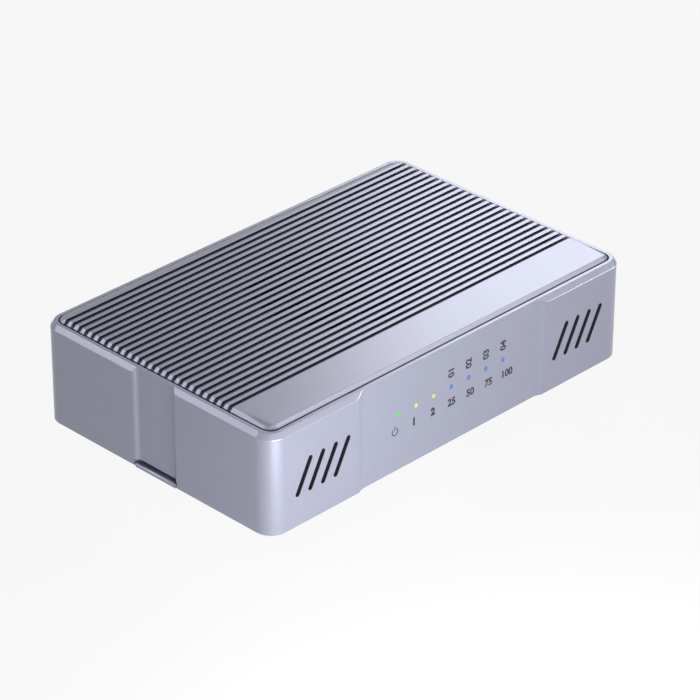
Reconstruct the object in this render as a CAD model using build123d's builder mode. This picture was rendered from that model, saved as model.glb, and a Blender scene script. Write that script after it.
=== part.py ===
from build123d import *
from math import cos, radians, sin, sqrt
import os

# Dual-slot SSD enclosure, as an assembly of separate pieces.
# X runs along the front face, +Y points to the back, +Z up.
# The origin is on the desk, under the middle of the enclosure. Millimetres.

# Outer form
length = 125.0
depth = 80.0
height = 35.0
corner_r = 5.0
foot_stand = 4.8
pan_drop = 1.5
full_turn = 360.0
quarter_turn = 90.0

# Frame: one aluminium ring with a rim around the cover
rim_w = 2.0
wall = 3.6
edge_in = 0.95
edge_down = 1.5
lower_chamfer = 0.3
recess = 1.05
front_block_l = 28.2
rear_block_l = 30.3
long_blend = 4.4
side_recess_w = 15.7
side_blend = 2.05
post_size = 9.0
post_bite = 0.4
post_round = 1.5
thread_r = 1.05
thread_deep = 8.0

# Slanted slots in the two front blocks
louver_count = 4
louver_pitch = 4.22
louver_len = 10.7
louver_w = 1.45
louver_lean = 63.0
louver_end_gap = 17.4
louver_up = 13.2

# Cover: grooved plate with a round vent over the fan
cover_rise = 0.85
cover_skirt = 1.8
seam = 0.4
cover_gap = 0.1
groove_pitch = 2.4
groove_w = 1.15
groove_deep = 0.62
groove_round = 0.3
grooves_front = 10
grooves_back = 14
vent_y = 0.35
vent_r = 21.5
vent_w = 1.0
vent_bridge_in = 5.45
vent_bridge_out = 7.65
vent_min = 3.0

# Magnets that hold the cover
magnet_r = 2.5
magnet_t = 1.2
magnet_fit = 0.05
magnet_air = 0.3

# Base plate
plate_t = 1.2
plate_fit = 0.2
pan_end_gap = 9.9
pan_side_gap = 5.4
pan_r = 6.0
tongue_w = 14.2
tongue_t = 0.95
tongue_chamfer = 0.25
slit_w = 15.3
slit_up = 1.9
intake_len = 24.0
intake_w = 1.8
intake_pitch = 3.6
intake_rows = 9
intake_columns = 2
intake_step = 29.0

# Screws of the base
base_screw_r = 1.0
base_head_r = 2.2
base_hole_r = 1.3
base_sink_r = 2.3
base_sink_angle = 90.0
base_driver_l = 2.64
driver_w = 0.6
driver_deep = 0.5

# Rubber feet
foot_r = 6.0
foot_fit = 0.05
foot_sink = 0.6
foot_round = 0.8
foot_end_gap = 8.0
foot_side_gap = 8.3

# Main board
board_stand = 2.5
board_t = 1.6
board_gap = 0.8
board_side_gap = 1.4
board_notch_gap = 0.7
board_screw_end = 17.5
board_screw_edge = 2.3
standoff_r = 2.2
standoff_sides = 6
board_hole_r = 1.35
board_head_r = 2.1
board_head_t = 1.3
board_driver_l = 2.73
running_fit = 0.05

# Two M.2 bays, side by side
bay_pitch = 23.5
bay_mid_y = 0.0
ssd_w = 22.0
ssd_len = 80.0
ssd_lift = 2.3
ssd_t = 0.8
ssd_in = 4.0
socket_end_gap = 0.5
socket_l = 8.0
socket_h = 4.2
socket_mouth_w = 20.0
socket_mouth_h = 1.2
latch_post_r = 2.75
latch_neck_r = 1.7
latch_pin_r = 1.0
latch_r = 3.4
latch_t = 1.0
latch_arm = 5.5
latch_arm_w = 1.8
latch_head_r = 1.7
latch_head_t = 0.5
latch_play = 0.1
pad_socket_gap = 2.0
pad_latch_gap = 8.0
pad_w = 17.0
pad_t = 2.0

# Row of status lights
light_count = 7
light_pitch = 6.2
light_up = 15.6
light_r = 0.6
light_head_r = 0.95
light_head_t = 0.6
light_gap = 0.15
led_board_l = 47.0
led_board_h = 13.4
led_board_t = 1.0
led_w = 1.6
led_h = 0.9
led_t = 0.6
led_header_l = 20.0
led_header_s = 2.5

# Rear row: three buttons, a USB-C socket and a power socket
button_up = 4.0
power_x = -22.5
mode_x = -11.0
set_x = -2.0
power_r = 3.0
small_r = 1.9
power_proud = 0.6
small_proud = 0.4
power_travel = 1.0
small_travel = 0.5
button_fit = 0.1
button_lip = 0.8
button_lip_t = 0.8
button_slack = 0.3
plunger_r = 1.2
plunger_in = 1.5
switch_face_gap = 1.8
power_switch_s = 7.0
small_switch_s = 5.6
switch_len = 5.0
usb_x = 9.0
usb_w = 8.94
usb_h = 3.26
usb_wall = 0.3
usb_len = 7.35
usb_sink = 0.4
usb_hole_fit = 0.2
usb_tongue_w = 6.69
usb_tongue_t = 0.7
usb_tongue_back = 0.65
usb_tongue_round = 0.23
dc_x = 22.0
dc_up = 5.6
dc_w = 9.0
dc_h = 10.6
dc_len = 11.0
dc_nose_r = 3.9
dc_nose_fit = 0.2
dc_sink = 0.2
dc_bore_r = 2.85
dc_bore_len = 9.5
dc_pin_r = 1.0
dc_pin_sink = 1.0
dc_pin_round = 0.5

# Chips and power parts
raid_chip = 12.0
raid_chip_t = 1.2
raid_y = -14.0
sink_s = 14.0
sink_end_gap = 0.5
sink_h = 5.0
sink_base = 1.2
sink_fins = 7
fin_t = 0.8
bridge_chip = 7.0
bridge_chip_t = 1.0
bridge_end_gap = 2.0
bridge_y = 1.2
bridge_step = 7.8
coil_s = 5.8
coil_h = 3.0
coil_round = 0.97
coil_step = 7.0
coil_end_gap = 2.6
coil_rear_gap = 17.2
can_r = 3.15
can_h = 6.5
can_round = 0.39
can_end_gap = 21.5
can_rear_gap = 15.9
can_step = 7.4
support_chip_l = 4.0
support_chip_w = 3.0
support_chip_t = 1.0
support_rear_gap = 13.0
support_step = 9.0
support_count = 6
support_mid_x = -17.0

# Fan under the cover
fan_size = 45.0
fan_h = 10.0
fan_round = 3.0
fan_bore_r = 21.5
fan_hole_step = 37.2
fan_hole_r = 1.7
fan_strut_w = 2.2
fan_strut_t = 1.2
fan_strut_count = 4
fan_strut_turn = 45.0
fan_strut_bite = 1.5
fan_disc_r = 9.0
tube_r = 2.6
sleeve_r = 1.6
shaft_r = 0.76
shaft_fit = 0.04
tube_h = 7.0
stator_r = 6.6
stator_h = 5.0
stator_teeth = 6
stator_tooth_w = 3.2
stator_core_r = 4.0
ring_t = 0.9
ring_gap = 0.3
cup_r = 9.0
cup_t = 0.8
cup_top = 1.0
rotor_gap_top = 0.8
rotor_gap_low = 0.5
rotor_r = 20.8
blade_count = 9
blade_t = 0.9
blade_over = 1.0
blade_root_chord = 8.4
blade_tip_chord = 12.0
blade_root_angle = 42.0
blade_tip_angle = 27.0
fan_screw_r = 1.45
fan_head_r = 2.7
fan_head_t = 1.6
fan_driver_l = 3.51
fan_screw_in = 1.2
fan_thread_r = 1.5
fan_thread_deep = 1.4

# Fan lead and its plug
fan_plug_end_gap = 19.5
fan_plug_y = -3.5
header_l = 7.0
header_w = 5.0
header_h = 5.0
header_wall = 0.9
plug_fit = 0.1
plug_h = 5.6
lead_r = 0.7
lead_bend = 0.8

# Heights and places that follow from the sizes above
half_l = length / 2
half_w = depth / 2
front_recess_w = length - 2 * front_block_l
rear_recess_w = length - 2 * rear_block_l
louver_x = half_l - louver_end_gap
frame_z = foot_stand + pan_drop
rim_z = height - cover_rise
ledge_z = rim_z - cover_skirt
under_cover = ledge_z + cover_gap
plate_top = frame_z + plate_t
pan_floor = foot_stand + plate_t
inner_l = length - 2 * wall
inner_w = depth - 2 * wall
inner_r = 2.0
post_x = inner_l / 2 - post_size / 2
post_y = inner_w / 2 - post_size / 2
post_top = under_cover - magnet_air
pan_l = inner_l - 2 * pan_end_gap
pan_w = inner_w - 2 * pan_side_gap
foot_x = pan_l / 2 - foot_end_gap
foot_y = pan_w / 2 - foot_side_gap
board_z = plate_top + board_stand
board_top = board_z + board_t
board_l = inner_l - 2 * board_side_gap
board_w = inner_w - 2 * board_gap
board_screw_x = board_l / 2 - board_screw_end
board_screw_y = board_w / 2 - board_screw_edge
socket_front_x = socket_end_gap + socket_l - board_l / 2
raid_x = board_l / 2 - sink_end_gap - sink_s / 2
bridge_x = board_l / 2 - bridge_end_gap - bridge_chip / 2
coil_x = board_l / 2 - coil_end_gap - coil_s / 2
coil_y = inner_w / 2 - coil_rear_gap
can_x = board_l / 2 - can_end_gap
fan_plug_x = board_l / 2 - fan_plug_end_gap
can_y = inner_w / 2 - can_rear_gap
support_y = inner_w / 2 - support_rear_gap
bay_ys = {"a": bay_mid_y - bay_pitch / 2, "b": bay_mid_y + bay_pitch / 2}
latch_x = socket_front_x - ssd_in + ssd_len
front_panel_y = -half_w + recess
rear_panel_y = half_w - recess
light_z = frame_z + light_up
button_z = board_top + button_up
fan_z = under_cover - fan_h
frame_h = rim_z - frame_z

os.makedirs("parts", exist_ok=True)


def facing(y):
    """Plane parallel to the front face at this y, with u along X and v along Z."""
    return Plane(origin=(0, y, 0), x_dir=(1, 0, 0), z_dir=(0, -1, 0))


# Frame
# Each recess is drawn with u along its face and v pointing out of the enclosure.
front_side = Plane(origin=(0, -half_w, frame_z), x_dir=(-1, 0, 0), z_dir=(0, 0, 1))
rear_side = Plane(origin=(0, half_w, frame_z), x_dir=(1, 0, 0), z_dir=(0, 0, 1))
left_side = Plane(origin=(-half_l, 0, frame_z), x_dir=(0, 1, 0), z_dir=(0, 0, 1))
right_side = Plane(origin=(half_l, 0, frame_z), x_dir=(0, -1, 0), z_dir=(0, 0, 1))
recesses = [
    (front_side, front_recess_w, long_blend),
    (rear_side, rear_recess_w, long_blend),
    (left_side, side_recess_w, side_blend),
    (right_side, side_recess_w, side_blend),
]
cut_out = wall

with BuildPart() as body_frame:
    with BuildSketch(Plane.XY.offset(frame_z)):
        RectangleRounded(length, depth, corner_r)
    extrude(amount=frame_h)
    top_face = body_frame.faces().sort_by(Axis.Z)[-1]
    chamfer(top_face.edges(), length=edge_in, length2=edge_down, reference=top_face)
    chamfer(body_frame.faces().sort_by(Axis.Z)[0].edges(), length=lower_chamfer)
    # Shallow recesses, whose ends sweep in on two tangent arcs
    for side, width, blend in recesses:
        with BuildSketch(side):
            with BuildLine():
                bend_in = TangentArc(
                    (-width / 2, 0), (-width / 2 + blend / 2, -recess / 2), tangent=(1, 0)
                )
                bend_out = TangentArc(
                    bend_in @ 1, (-width / 2 + blend, -recess), tangent=bend_in % 1
                )
                Line(bend_out @ 1, (0, -recess))
                Polyline((-width / 2, 0), (-width / 2, cut_out), (0, cut_out))
                mirror(about=Plane.YZ)
            make_face()
        extrude(amount=frame_h, mode=Mode.SUBTRACT)
    # Inside, with a ledge under the rim that carries the cover
    with BuildSketch(Plane.XY.offset(frame_z)):
        RectangleRounded(inner_l, inner_w, inner_r)
    extrude(amount=frame_h, mode=Mode.SUBTRACT)
    with BuildSketch(Plane.XY.offset(ledge_z)):
        RectangleRounded(length - 2 * rim_w, depth - 2 * rim_w, corner_r - rim_w)
    extrude(amount=cover_skirt, mode=Mode.SUBTRACT)
    # Corner posts for the base screws and the magnets
    with BuildSketch(Plane.XY.offset(plate_top)):
        with GridLocations(2 * post_x, 2 * post_y, 2, 2):
            RectangleRounded(post_size + post_bite, post_size + post_bite, post_round)
    extrude(amount=post_top - plate_top)
    with BuildSketch(Plane.XY.offset(plate_top)):
        with GridLocations(2 * post_x, 2 * post_y, 2, 2):
            Circle(thread_r)
    extrude(amount=thread_deep, mode=Mode.SUBTRACT)
    with BuildSketch(Plane.XY.offset(post_top)):
        with GridLocations(2 * post_x, 2 * post_y, 2, 2):
            Circle(magnet_r + magnet_fit)
    extrude(amount=-magnet_t, mode=Mode.SUBTRACT)
    # Slanted slots in the front blocks
    for block_x in (-louver_x, louver_x):
        with BuildSketch(facing(-half_w)):
            with Locations((block_x, frame_z + louver_up)):
                with GridLocations(louver_pitch, 0, louver_count, 1):
                    SlotOverall(louver_len, louver_w, rotation=louver_lean)
        extrude(amount=-wall, mode=Mode.SUBTRACT)
    # Holes of the status lights
    with BuildSketch(facing(-half_w)):
        with Locations((0, light_z)):
            with GridLocations(light_pitch, 0, light_count, 1):
                Circle(light_r + running_fit)
    extrude(amount=-wall, mode=Mode.SUBTRACT)
    # Rear openings
    with BuildSketch(facing(half_w)):
        with Locations((power_x, button_z)):
            Circle(power_r + button_fit)
        with Locations((mode_x, button_z), (set_x, button_z)):
            Circle(small_r + button_fit)
        with Locations((usb_x, board_top + usb_h / 2)):
            SlotOverall(usb_w + 2 * usb_hole_fit, usb_h + 2 * usb_hole_fit)
        with Locations((dc_x, board_top + dc_up)):
            Circle(dc_nose_r + dc_nose_fit)
    extrude(amount=wall, mode=Mode.SUBTRACT)
    # Slit over the tongue of the base plate
    with Locations((-half_l, 0, frame_z)):
        Box(wall, slit_w, slit_up, align=(Align.MIN, Align.CENTER, Align.MIN), mode=Mode.SUBTRACT)
body_frame.part.label = "body_frame"
export_step(body_frame.part, "parts/body_frame.step")

with BuildPart() as frame_magnets:
    with BuildSketch(Plane.XY.offset(post_top - magnet_t)):
        with GridLocations(2 * post_x, 2 * post_y, 2, 2):
            Circle(magnet_r)
    extrude(amount=magnet_t)
frame_magnets.part.label = "frame_magnets"
export_step(frame_magnets.part, "parts/frame_magnets.step")

# Cover
cover_l = length - 2 * (rim_w + seam)
cover_w = depth - 2 * (rim_w + seam)
cover_r = corner_r - rim_w - seam

with BuildPart() as top_cover:
    with BuildSketch(Plane.XY.offset(under_cover)):
        RectangleRounded(cover_l, cover_w, cover_r)
    extrude(amount=height - under_cover)
    chamfer(top_cover.faces().sort_by(Axis.Z)[-1].edges(), length=cover_rise)
    # Grooves run through both short edges
    with BuildSketch(Plane.YZ.offset(-half_l)):
        for number in range(-grooves_front, grooves_back + 1):
            with Locations((vent_y + number * groove_pitch, height)):
                RectangleRounded(groove_w, 2 * groove_deep, groove_round)
    extrude(amount=length, mode=Mode.SUBTRACT)
    # Vent slots in every second groove, inside a circle, with two bridges across
    rows = int(vent_r / (2 * groove_pitch))
    with BuildSketch(Plane.XY.offset(under_cover)):
        for row in range(-rows, rows + 1):
            row_y = 2 * row * groove_pitch
            reach = sqrt(vent_r**2 - row_y**2)
            with Locations((0, vent_y + row_y)):
                Rectangle(2 * min(vent_bridge_in, reach), vent_w)
            if reach - vent_bridge_out > vent_min:
                middle = (reach + vent_bridge_out) / 2
                with Locations((-middle, vent_y + row_y), (middle, vent_y + row_y)):
                    Rectangle(reach - vent_bridge_out, vent_w)
    extrude(amount=height - under_cover, mode=Mode.SUBTRACT)
    with BuildSketch(Plane.XY.offset(under_cover)):
        with GridLocations(2 * post_x, 2 * post_y, 2, 2):
            Circle(magnet_r + magnet_fit)
    extrude(amount=magnet_t, mode=Mode.SUBTRACT)
    with BuildSketch(Plane.XY.offset(under_cover)):
        with Locations((0, vent_y)):
            with GridLocations(fan_hole_step, fan_hole_step, 2, 2):
                Circle(fan_thread_r)
    extrude(amount=fan_thread_deep, mode=Mode.SUBTRACT)
top_cover.part.label = "top_cover"
export_step(top_cover.part, "parts/top_cover.step")

with BuildPart() as cover_magnets:
    with BuildSketch(Plane.XY.offset(under_cover)):
        with GridLocations(2 * post_x, 2 * post_y, 2, 2):
            Circle(magnet_r)
    extrude(amount=magnet_t)
cover_magnets.part.label = "cover_magnets"
export_step(cover_magnets.part, "parts/cover_magnets.step")

# Base plate: a flat flange with a shallow pan and a tongue at the left end
with BuildPart() as base_plate:
    with BuildSketch(Plane.XY.offset(frame_z)):
        RectangleRounded(inner_l - 2 * plate_fit, inner_w - 2 * plate_fit, inner_r - plate_fit)
    extrude(amount=plate_t)
    with BuildSketch(Plane.XY.offset(foot_stand)):
        RectangleRounded(pan_l, pan_w, pan_r)
    extrude(amount=pan_drop)
    with BuildSketch(Plane.XY.offset(pan_floor)):
        RectangleRounded(pan_l - 2 * plate_t, pan_w - 2 * plate_t, pan_r - plate_t)
    extrude(amount=plate_top - pan_floor, mode=Mode.SUBTRACT)
    with Locations((-half_l, 0, frame_z)):
        Box(
            wall + plate_fit + plate_t,
            tongue_w,
            tongue_t,
            align=(Align.MIN, Align.CENTER, Align.MIN),
        )
    tongue_end = base_plate.faces().sort_by(Axis.X)[0]
    chamfer(tongue_end.edges().sort_by(Axis.Z)[-1], length=tongue_chamfer)
    with Locations(Plane(origin=(0, 0, frame_z), x_dir=(1, 0, 0), z_dir=(0, 0, -1))):
        with GridLocations(2 * post_x, 2 * post_y, 2, 2):
            CounterSinkHole(
                base_hole_r, base_sink_r, depth=plate_t, counter_sink_angle=base_sink_angle
            )
    with BuildSketch(Plane.XY.offset(foot_stand)):
        with GridLocations(2 * foot_x, 2 * foot_y, 2, 2):
            Circle(foot_r + foot_fit)
    extrude(amount=foot_sink, mode=Mode.SUBTRACT)
    with BuildSketch(Plane.XY.offset(foot_stand)):
        with GridLocations(intake_step, intake_pitch, intake_columns, intake_rows):
            SlotOverall(intake_len, intake_w)
    extrude(amount=plate_t, mode=Mode.SUBTRACT)
base_plate.part.label = "base_plate"
export_step(base_plate.part, "parts/base_plate.step")

with BuildPart() as rubber_feet:
    with BuildSketch():
        with GridLocations(2 * foot_x, 2 * foot_y, 2, 2):
            Circle(foot_r)
    extrude(amount=foot_stand + foot_sink)
    fillet(rubber_feet.edges().group_by(Axis.Z)[0], foot_round)
rubber_feet.part.label = "rubber_feet"
export_step(rubber_feet.part, "parts/rubber_feet.step")

base_head_h = base_head_r - base_screw_r
with BuildPart() as base_screws:
    with GridLocations(2 * post_x, 2 * post_y, 2, 2):
        with Locations((0, 0, frame_z)):
            Cone(base_head_r, base_screw_r, base_head_h, align=(Align.CENTER, Align.CENTER, Align.MIN))
            Cylinder(
                base_screw_r,
                plate_t + thread_deep - running_fit,
                align=(Align.CENTER, Align.CENTER, Align.MIN),
            )
            for turn in (0, quarter_turn):
                Box(
                    base_driver_l,
                    driver_w,
                    driver_deep,
                    rotation=(0, 0, turn),
                    align=(Align.CENTER, Align.CENTER, Align.MIN),
                    mode=Mode.SUBTRACT,
                )
base_screws.part.label = "base_screws"
export_step(base_screws.part, "parts/base_screws.step")

# Main board on four spacers
notch = post_size + board_notch_gap
with BuildPart() as main_board:
    with BuildSketch(Plane.XY.offset(board_z)):
        Rectangle(board_l, board_w)
        with GridLocations(inner_l - notch, inner_w - notch, 2, 2):
            Rectangle(notch, notch, mode=Mode.SUBTRACT)
        with GridLocations(2 * board_screw_x, 2 * board_screw_y, 2, 2):
            Circle(board_hole_r, mode=Mode.SUBTRACT)
    extrude(amount=board_t)
main_board.part.label = "main_board"
export_step(main_board.part, "parts/main_board.step")

with BuildPart() as board_standoffs:
    with BuildSketch(Plane.XY.offset(plate_top)):
        with GridLocations(2 * board_screw_x, 2 * board_screw_y, 2, 2):
            RegularPolygon(standoff_r, standoff_sides)
            Circle(thread_r, mode=Mode.SUBTRACT)
    extrude(amount=board_stand)
board_standoffs.part.label = "board_standoffs"
export_step(board_standoffs.part, "parts/board_standoffs.step")

with BuildPart() as board_screws:
    with BuildSketch(Plane.XY.offset(board_top)):
        with GridLocations(2 * board_screw_x, 2 * board_screw_y, 2, 2):
            Circle(board_head_r)
    extrude(amount=board_head_t)
    with BuildSketch(Plane.XY.offset(plate_top + running_fit)):
        with GridLocations(2 * board_screw_x, 2 * board_screw_y, 2, 2):
            Circle(base_screw_r)
    extrude(amount=board_top - plate_top - running_fit)
    with BuildSketch(Plane.XY.offset(board_top + board_head_t)):
        with GridLocations(2 * board_screw_x, 2 * board_screw_y, 2, 2):
            Rectangle(board_driver_l, driver_w)
            Rectangle(driver_w, board_driver_l)
    extrude(amount=-driver_deep, mode=Mode.SUBTRACT)
board_screws.part.label = "board_screws"
export_step(board_screws.part, "parts/board_screws.step")

# M.2 bays: an edge socket, a latch post, a turning latch and a thermal pad each
ssd_z = board_top + ssd_lift
for bay, bay_y in bay_ys.items():
    with BuildPart() as socket:
        with Locations((socket_front_x, bay_y, board_top)):
            Box(socket_l, ssd_w, socket_h, align=(Align.MAX, Align.CENTER, Align.MIN))
        with Locations((socket_front_x, bay_y, ssd_z + ssd_t / 2)):
            Box(
                ssd_in + running_fit,
                socket_mouth_w,
                socket_mouth_h,
                align=(Align.MAX, Align.CENTER, Align.CENTER),
                mode=Mode.SUBTRACT,
            )
    socket.part.label = f"m2_socket_{bay}"
    export_step(socket.part, f"parts/m2_socket_{bay}.step")

    latch_z = ssd_z + ssd_t + latch_play
    with BuildPart() as post:
        with Locations((latch_x, bay_y, board_top)):
            Cylinder(latch_post_r, ssd_lift, align=(Align.CENTER, Align.CENTER, Align.MIN))
            Cylinder(
                latch_neck_r, ssd_lift + ssd_t, align=(Align.CENTER, Align.CENTER, Align.MIN)
            )
            Cylinder(
                latch_pin_r,
                latch_z + latch_t + latch_play - board_top + latch_head_t,
                align=(Align.CENTER, Align.CENTER, Align.MIN),
            )
        with Locations((latch_x, bay_y, latch_z + latch_t + latch_play)):
            Cylinder(latch_head_r, latch_head_t, align=(Align.CENTER, Align.CENTER, Align.MIN))
    post.part.label = f"latch_post_{bay}"
    export_step(post.part, f"parts/latch_post_{bay}.step")

    with BuildPart() as latch:
        with BuildSketch(Plane(origin=(latch_x, bay_y, latch_z))):
            Circle(latch_r)
            with Locations((0, latch_neck_r)):
                Rectangle(2 * latch_r, latch_r, align=(Align.CENTER, Align.MIN), mode=Mode.SUBTRACT)
            with Locations((0, -latch_arm / 2)):
                SlotOverall(latch_arm + latch_r, latch_arm_w, rotation=quarter_turn)
            Circle(latch_pin_r + running_fit, mode=Mode.SUBTRACT)
        extrude(amount=latch_t)
    latch.part.label = f"ssd_latch_{bay}"
    export_step(latch.part, f"parts/ssd_latch_{bay}.step")

    with BuildPart() as pad:
        with Locations((socket_front_x + pad_socket_gap, bay_y, board_top)):
            Box(
                latch_x - socket_front_x - pad_socket_gap - pad_latch_gap,
                pad_w,
                pad_t,
                align=(Align.MIN, Align.CENTER, Align.MIN),
            )
    pad.part.label = f"thermal_pad_{bay}"
    export_step(pad.part, f"parts/thermal_pad_{bay}.step")

# Status lights: clear pipes in the front wall, chips on an upright board behind them
inner_face_y = -inner_w / 2
led_board_front = inner_face_y + light_head_t + light_gap + led_t
light_groups = {
    "power_light_pipe": (0,),
    "drive_light_pipes": (1, 2),
    "mode_light_pipes": (3, 4, 5, 6),
}
for group, numbers in light_groups.items():
    with BuildPart() as pipes:
        spots = [((number - (light_count - 1) / 2) * light_pitch, light_z) for number in numbers]
        with BuildSketch(facing(front_panel_y)):
            with Locations(*spots):
                Circle(light_r)
        extrude(amount=-(inner_face_y - front_panel_y))
        with BuildSketch(facing(inner_face_y)):
            with Locations(*spots):
                Circle(light_head_r)
        extrude(amount=-light_head_t)
    pipes.part.label = group
    export_step(pipes.part, f"parts/{group}.step")

with BuildPart() as led_chips:
    with BuildSketch(facing(led_board_front)):
        with Locations((0, light_z)):
            with GridLocations(light_pitch, 0, light_count, 1):
                Rectangle(led_w, led_h)
    extrude(amount=led_t)
led_chips.part.label = "led_chips"
export_step(led_chips.part, "parts/led_chips.step")

with BuildPart() as led_board:
    with Locations((0, led_board_front, board_top)):
        Box(
            led_board_l,
            led_board_t,
            led_board_h,
            align=(Align.CENTER, Align.MIN, Align.MIN),
        )
led_board.part.label = "led_board"
export_step(led_board.part, "parts/led_board.step")

with BuildPart() as led_header:
    with Locations((0, led_board_front + led_board_t, board_top)):
        Box(led_header_l, led_header_s, led_header_s, align=(Align.CENTER, Align.MIN, Align.MIN))
led_header.part.label = "led_header"
export_step(led_header.part, "parts/led_header.step")

# Rear buttons: a cap behind the wall, a plunger and a switch each
wall_inside = inner_w / 2
lip_y = wall_inside - button_slack
cap_back = lip_y - button_lip_t
switch_face = cap_back - switch_face_gap
rear_buttons = {
    "power": (power_x, power_r, power_proud, power_travel, power_switch_s),
    "mode": (mode_x, small_r, small_proud, small_travel, small_switch_s),
    "set": (set_x, small_r, small_proud, small_travel, small_switch_s),
}
for name, (x, cap_r, proud, travel, switch_s) in rear_buttons.items():
    with BuildPart() as cap:
        with BuildSketch(facing(cap_back)):
            with Locations((x, button_z)):
                Circle(cap_r + button_lip)
        extrude(amount=-button_lip_t)
        with BuildSketch(facing(cap_back)):
            with Locations((x, button_z)):
                Circle(cap_r)
        extrude(amount=-(rear_panel_y + proud - cap_back))
        fillet(cap.faces().sort_by(Axis.Y)[-1].edges(), proud / 2)
    cap.part.label = f"{name}_button"
    export_step(cap.part, f"parts/{name}_button.step")

    with BuildPart() as plunger:
        with BuildSketch(facing(cap_back)):
            with Locations((x, button_z)):
                Circle(plunger_r)
        extrude(amount=switch_face_gap + plunger_in)
    plunger.part.label = f"{name}_plunger"
    export_step(plunger.part, f"parts/{name}_plunger.step")

    with BuildPart() as switch:
        with Locations((x, switch_face, board_top)):
            Box(
                switch_s,
                switch_len,
                button_up + switch_s / 2,
                align=(Align.CENTER, Align.MAX, Align.MIN),
            )
        with BuildSketch(facing(switch_face)):
            with Locations((x, button_z)):
                Circle(plunger_r + button_fit)
        extrude(amount=plunger_in + travel + button_slack, mode=Mode.SUBTRACT)
    switch.part.label = f"{name}_switch"
    export_step(switch.part, f"parts/{name}_switch.step")

# USB-C socket
usb_z = board_top + usb_h / 2
usb_face = rear_panel_y - usb_sink
with BuildPart() as usb_c_shell:
    with BuildSketch(facing(usb_face)):
        with Locations((usb_x, usb_z)):
            SlotOverall(usb_w, usb_h)
    extrude(amount=usb_len)
    with BuildSketch(facing(usb_face)):
        with Locations((usb_x, usb_z)):
            SlotOverall(usb_w - 2 * usb_wall, usb_h - 2 * usb_wall)
    extrude(amount=usb_len - usb_wall, mode=Mode.SUBTRACT)
usb_c_shell.part.label = "usb_c_shell"
export_step(usb_c_shell.part, "parts/usb_c_shell.step")

with BuildPart() as usb_c_tongue:
    with BuildSketch(facing(usb_face - usb_tongue_back)):
        with Locations((usb_x, usb_z)):
            RectangleRounded(usb_tongue_w, usb_tongue_t, usb_tongue_round)
    extrude(amount=usb_len - usb_wall - usb_tongue_back)
usb_c_tongue.part.label = "usb_c_tongue"
export_step(usb_c_tongue.part, "parts/usb_c_tongue.step")

# Power socket
dc_z = board_top + dc_up
dc_face = rear_panel_y - dc_sink
with BuildPart() as dc_jack_housing:
    with Locations((dc_x, wall_inside, board_top)):
        Box(dc_w, dc_len, dc_h, align=(Align.CENTER, Align.MAX, Align.MIN))
    with BuildSketch(facing(wall_inside)):
        with Locations((dc_x, dc_z)):
            Circle(dc_nose_r)
    extrude(amount=-(dc_face - wall_inside))
    with BuildSketch(facing(dc_face)):
        with Locations((dc_x, dc_z)):
            Circle(dc_bore_r)
    extrude(amount=dc_bore_len, mode=Mode.SUBTRACT)
dc_jack_housing.part.label = "dc_jack_housing"
export_step(dc_jack_housing.part, "parts/dc_jack_housing.step")

with BuildPart() as dc_jack_pin:
    with BuildSketch(facing(dc_face - dc_pin_sink)):
        with Locations((dc_x, dc_z)):
            Circle(dc_pin_r)
    extrude(amount=dc_bore_len - dc_pin_sink)
    fillet(dc_jack_pin.faces().sort_by(Axis.Y)[-1].edges(), dc_pin_round)
dc_jack_pin.part.label = "dc_jack_pin"
export_step(dc_jack_pin.part, "parts/dc_jack_pin.step")

# Chips, heat sink and power parts on the board
with BuildPart() as raid_controller:
    with Locations((raid_x, raid_y, board_top)):
        Box(raid_chip, raid_chip, raid_chip_t, align=(Align.CENTER, Align.CENTER, Align.MIN))
raid_controller.part.label = "raid_controller"
export_step(raid_controller.part, "parts/raid_controller.step")

fin_pitch = (sink_s - fin_t) / (sink_fins - 1)
with BuildPart() as chip_heatsink:
    with Locations((raid_x, raid_y, board_top + raid_chip_t)):
        Box(sink_s, sink_s, sink_base, align=(Align.CENTER, Align.CENTER, Align.MIN))
        with GridLocations(fin_pitch, 0, sink_fins, 1):
            Box(fin_t, sink_s, sink_h, align=(Align.CENTER, Align.CENTER, Align.MIN))
chip_heatsink.part.label = "chip_heatsink"
export_step(chip_heatsink.part, "parts/chip_heatsink.step")

with BuildPart() as bridge_chips:
    with Locations((bridge_x, bridge_y, board_top)):
        with GridLocations(0, bridge_step, 1, 2):
            Box(
                bridge_chip,
                bridge_chip,
                bridge_chip_t,
                align=(Align.CENTER, Align.CENTER, Align.MIN),
            )
bridge_chips.part.label = "bridge_chips"
export_step(bridge_chips.part, "parts/bridge_chips.step")

with BuildPart() as support_chips:
    with Locations((support_mid_x, support_y, board_top)):
        with GridLocations(support_step, 0, support_count, 1):
            Box(
                support_chip_l,
                support_chip_w,
                support_chip_t,
                align=(Align.CENTER, Align.CENTER, Align.MIN),
            )
support_chips.part.label = "support_chips"
export_step(support_chips.part, "parts/support_chips.step")

with BuildPart() as power_inductors:
    with Locations((coil_x, coil_y, board_top)):
        with GridLocations(0, coil_step, 1, 2):
            Box(coil_s, coil_s, coil_h, align=(Align.CENTER, Align.CENTER, Align.MIN))
    fillet(power_inductors.edges().filter_by(Axis.Z), coil_round)
power_inductors.part.label = "power_inductors"
export_step(power_inductors.part, "parts/power_inductors.step")

with BuildPart() as board_capacitors:
    with BuildSketch(Plane.XY.offset(board_top)):
        with Locations((can_x, can_y), (can_x + can_step, can_y), (can_x, can_y + can_step)):
            Circle(can_r)
    extrude(amount=can_h)
    fillet(board_capacitors.edges().group_by(Axis.Z)[-1], can_round)
board_capacitors.part.label = "board_capacitors"
export_step(board_capacitors.part, "parts/board_capacitors.step")

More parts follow.
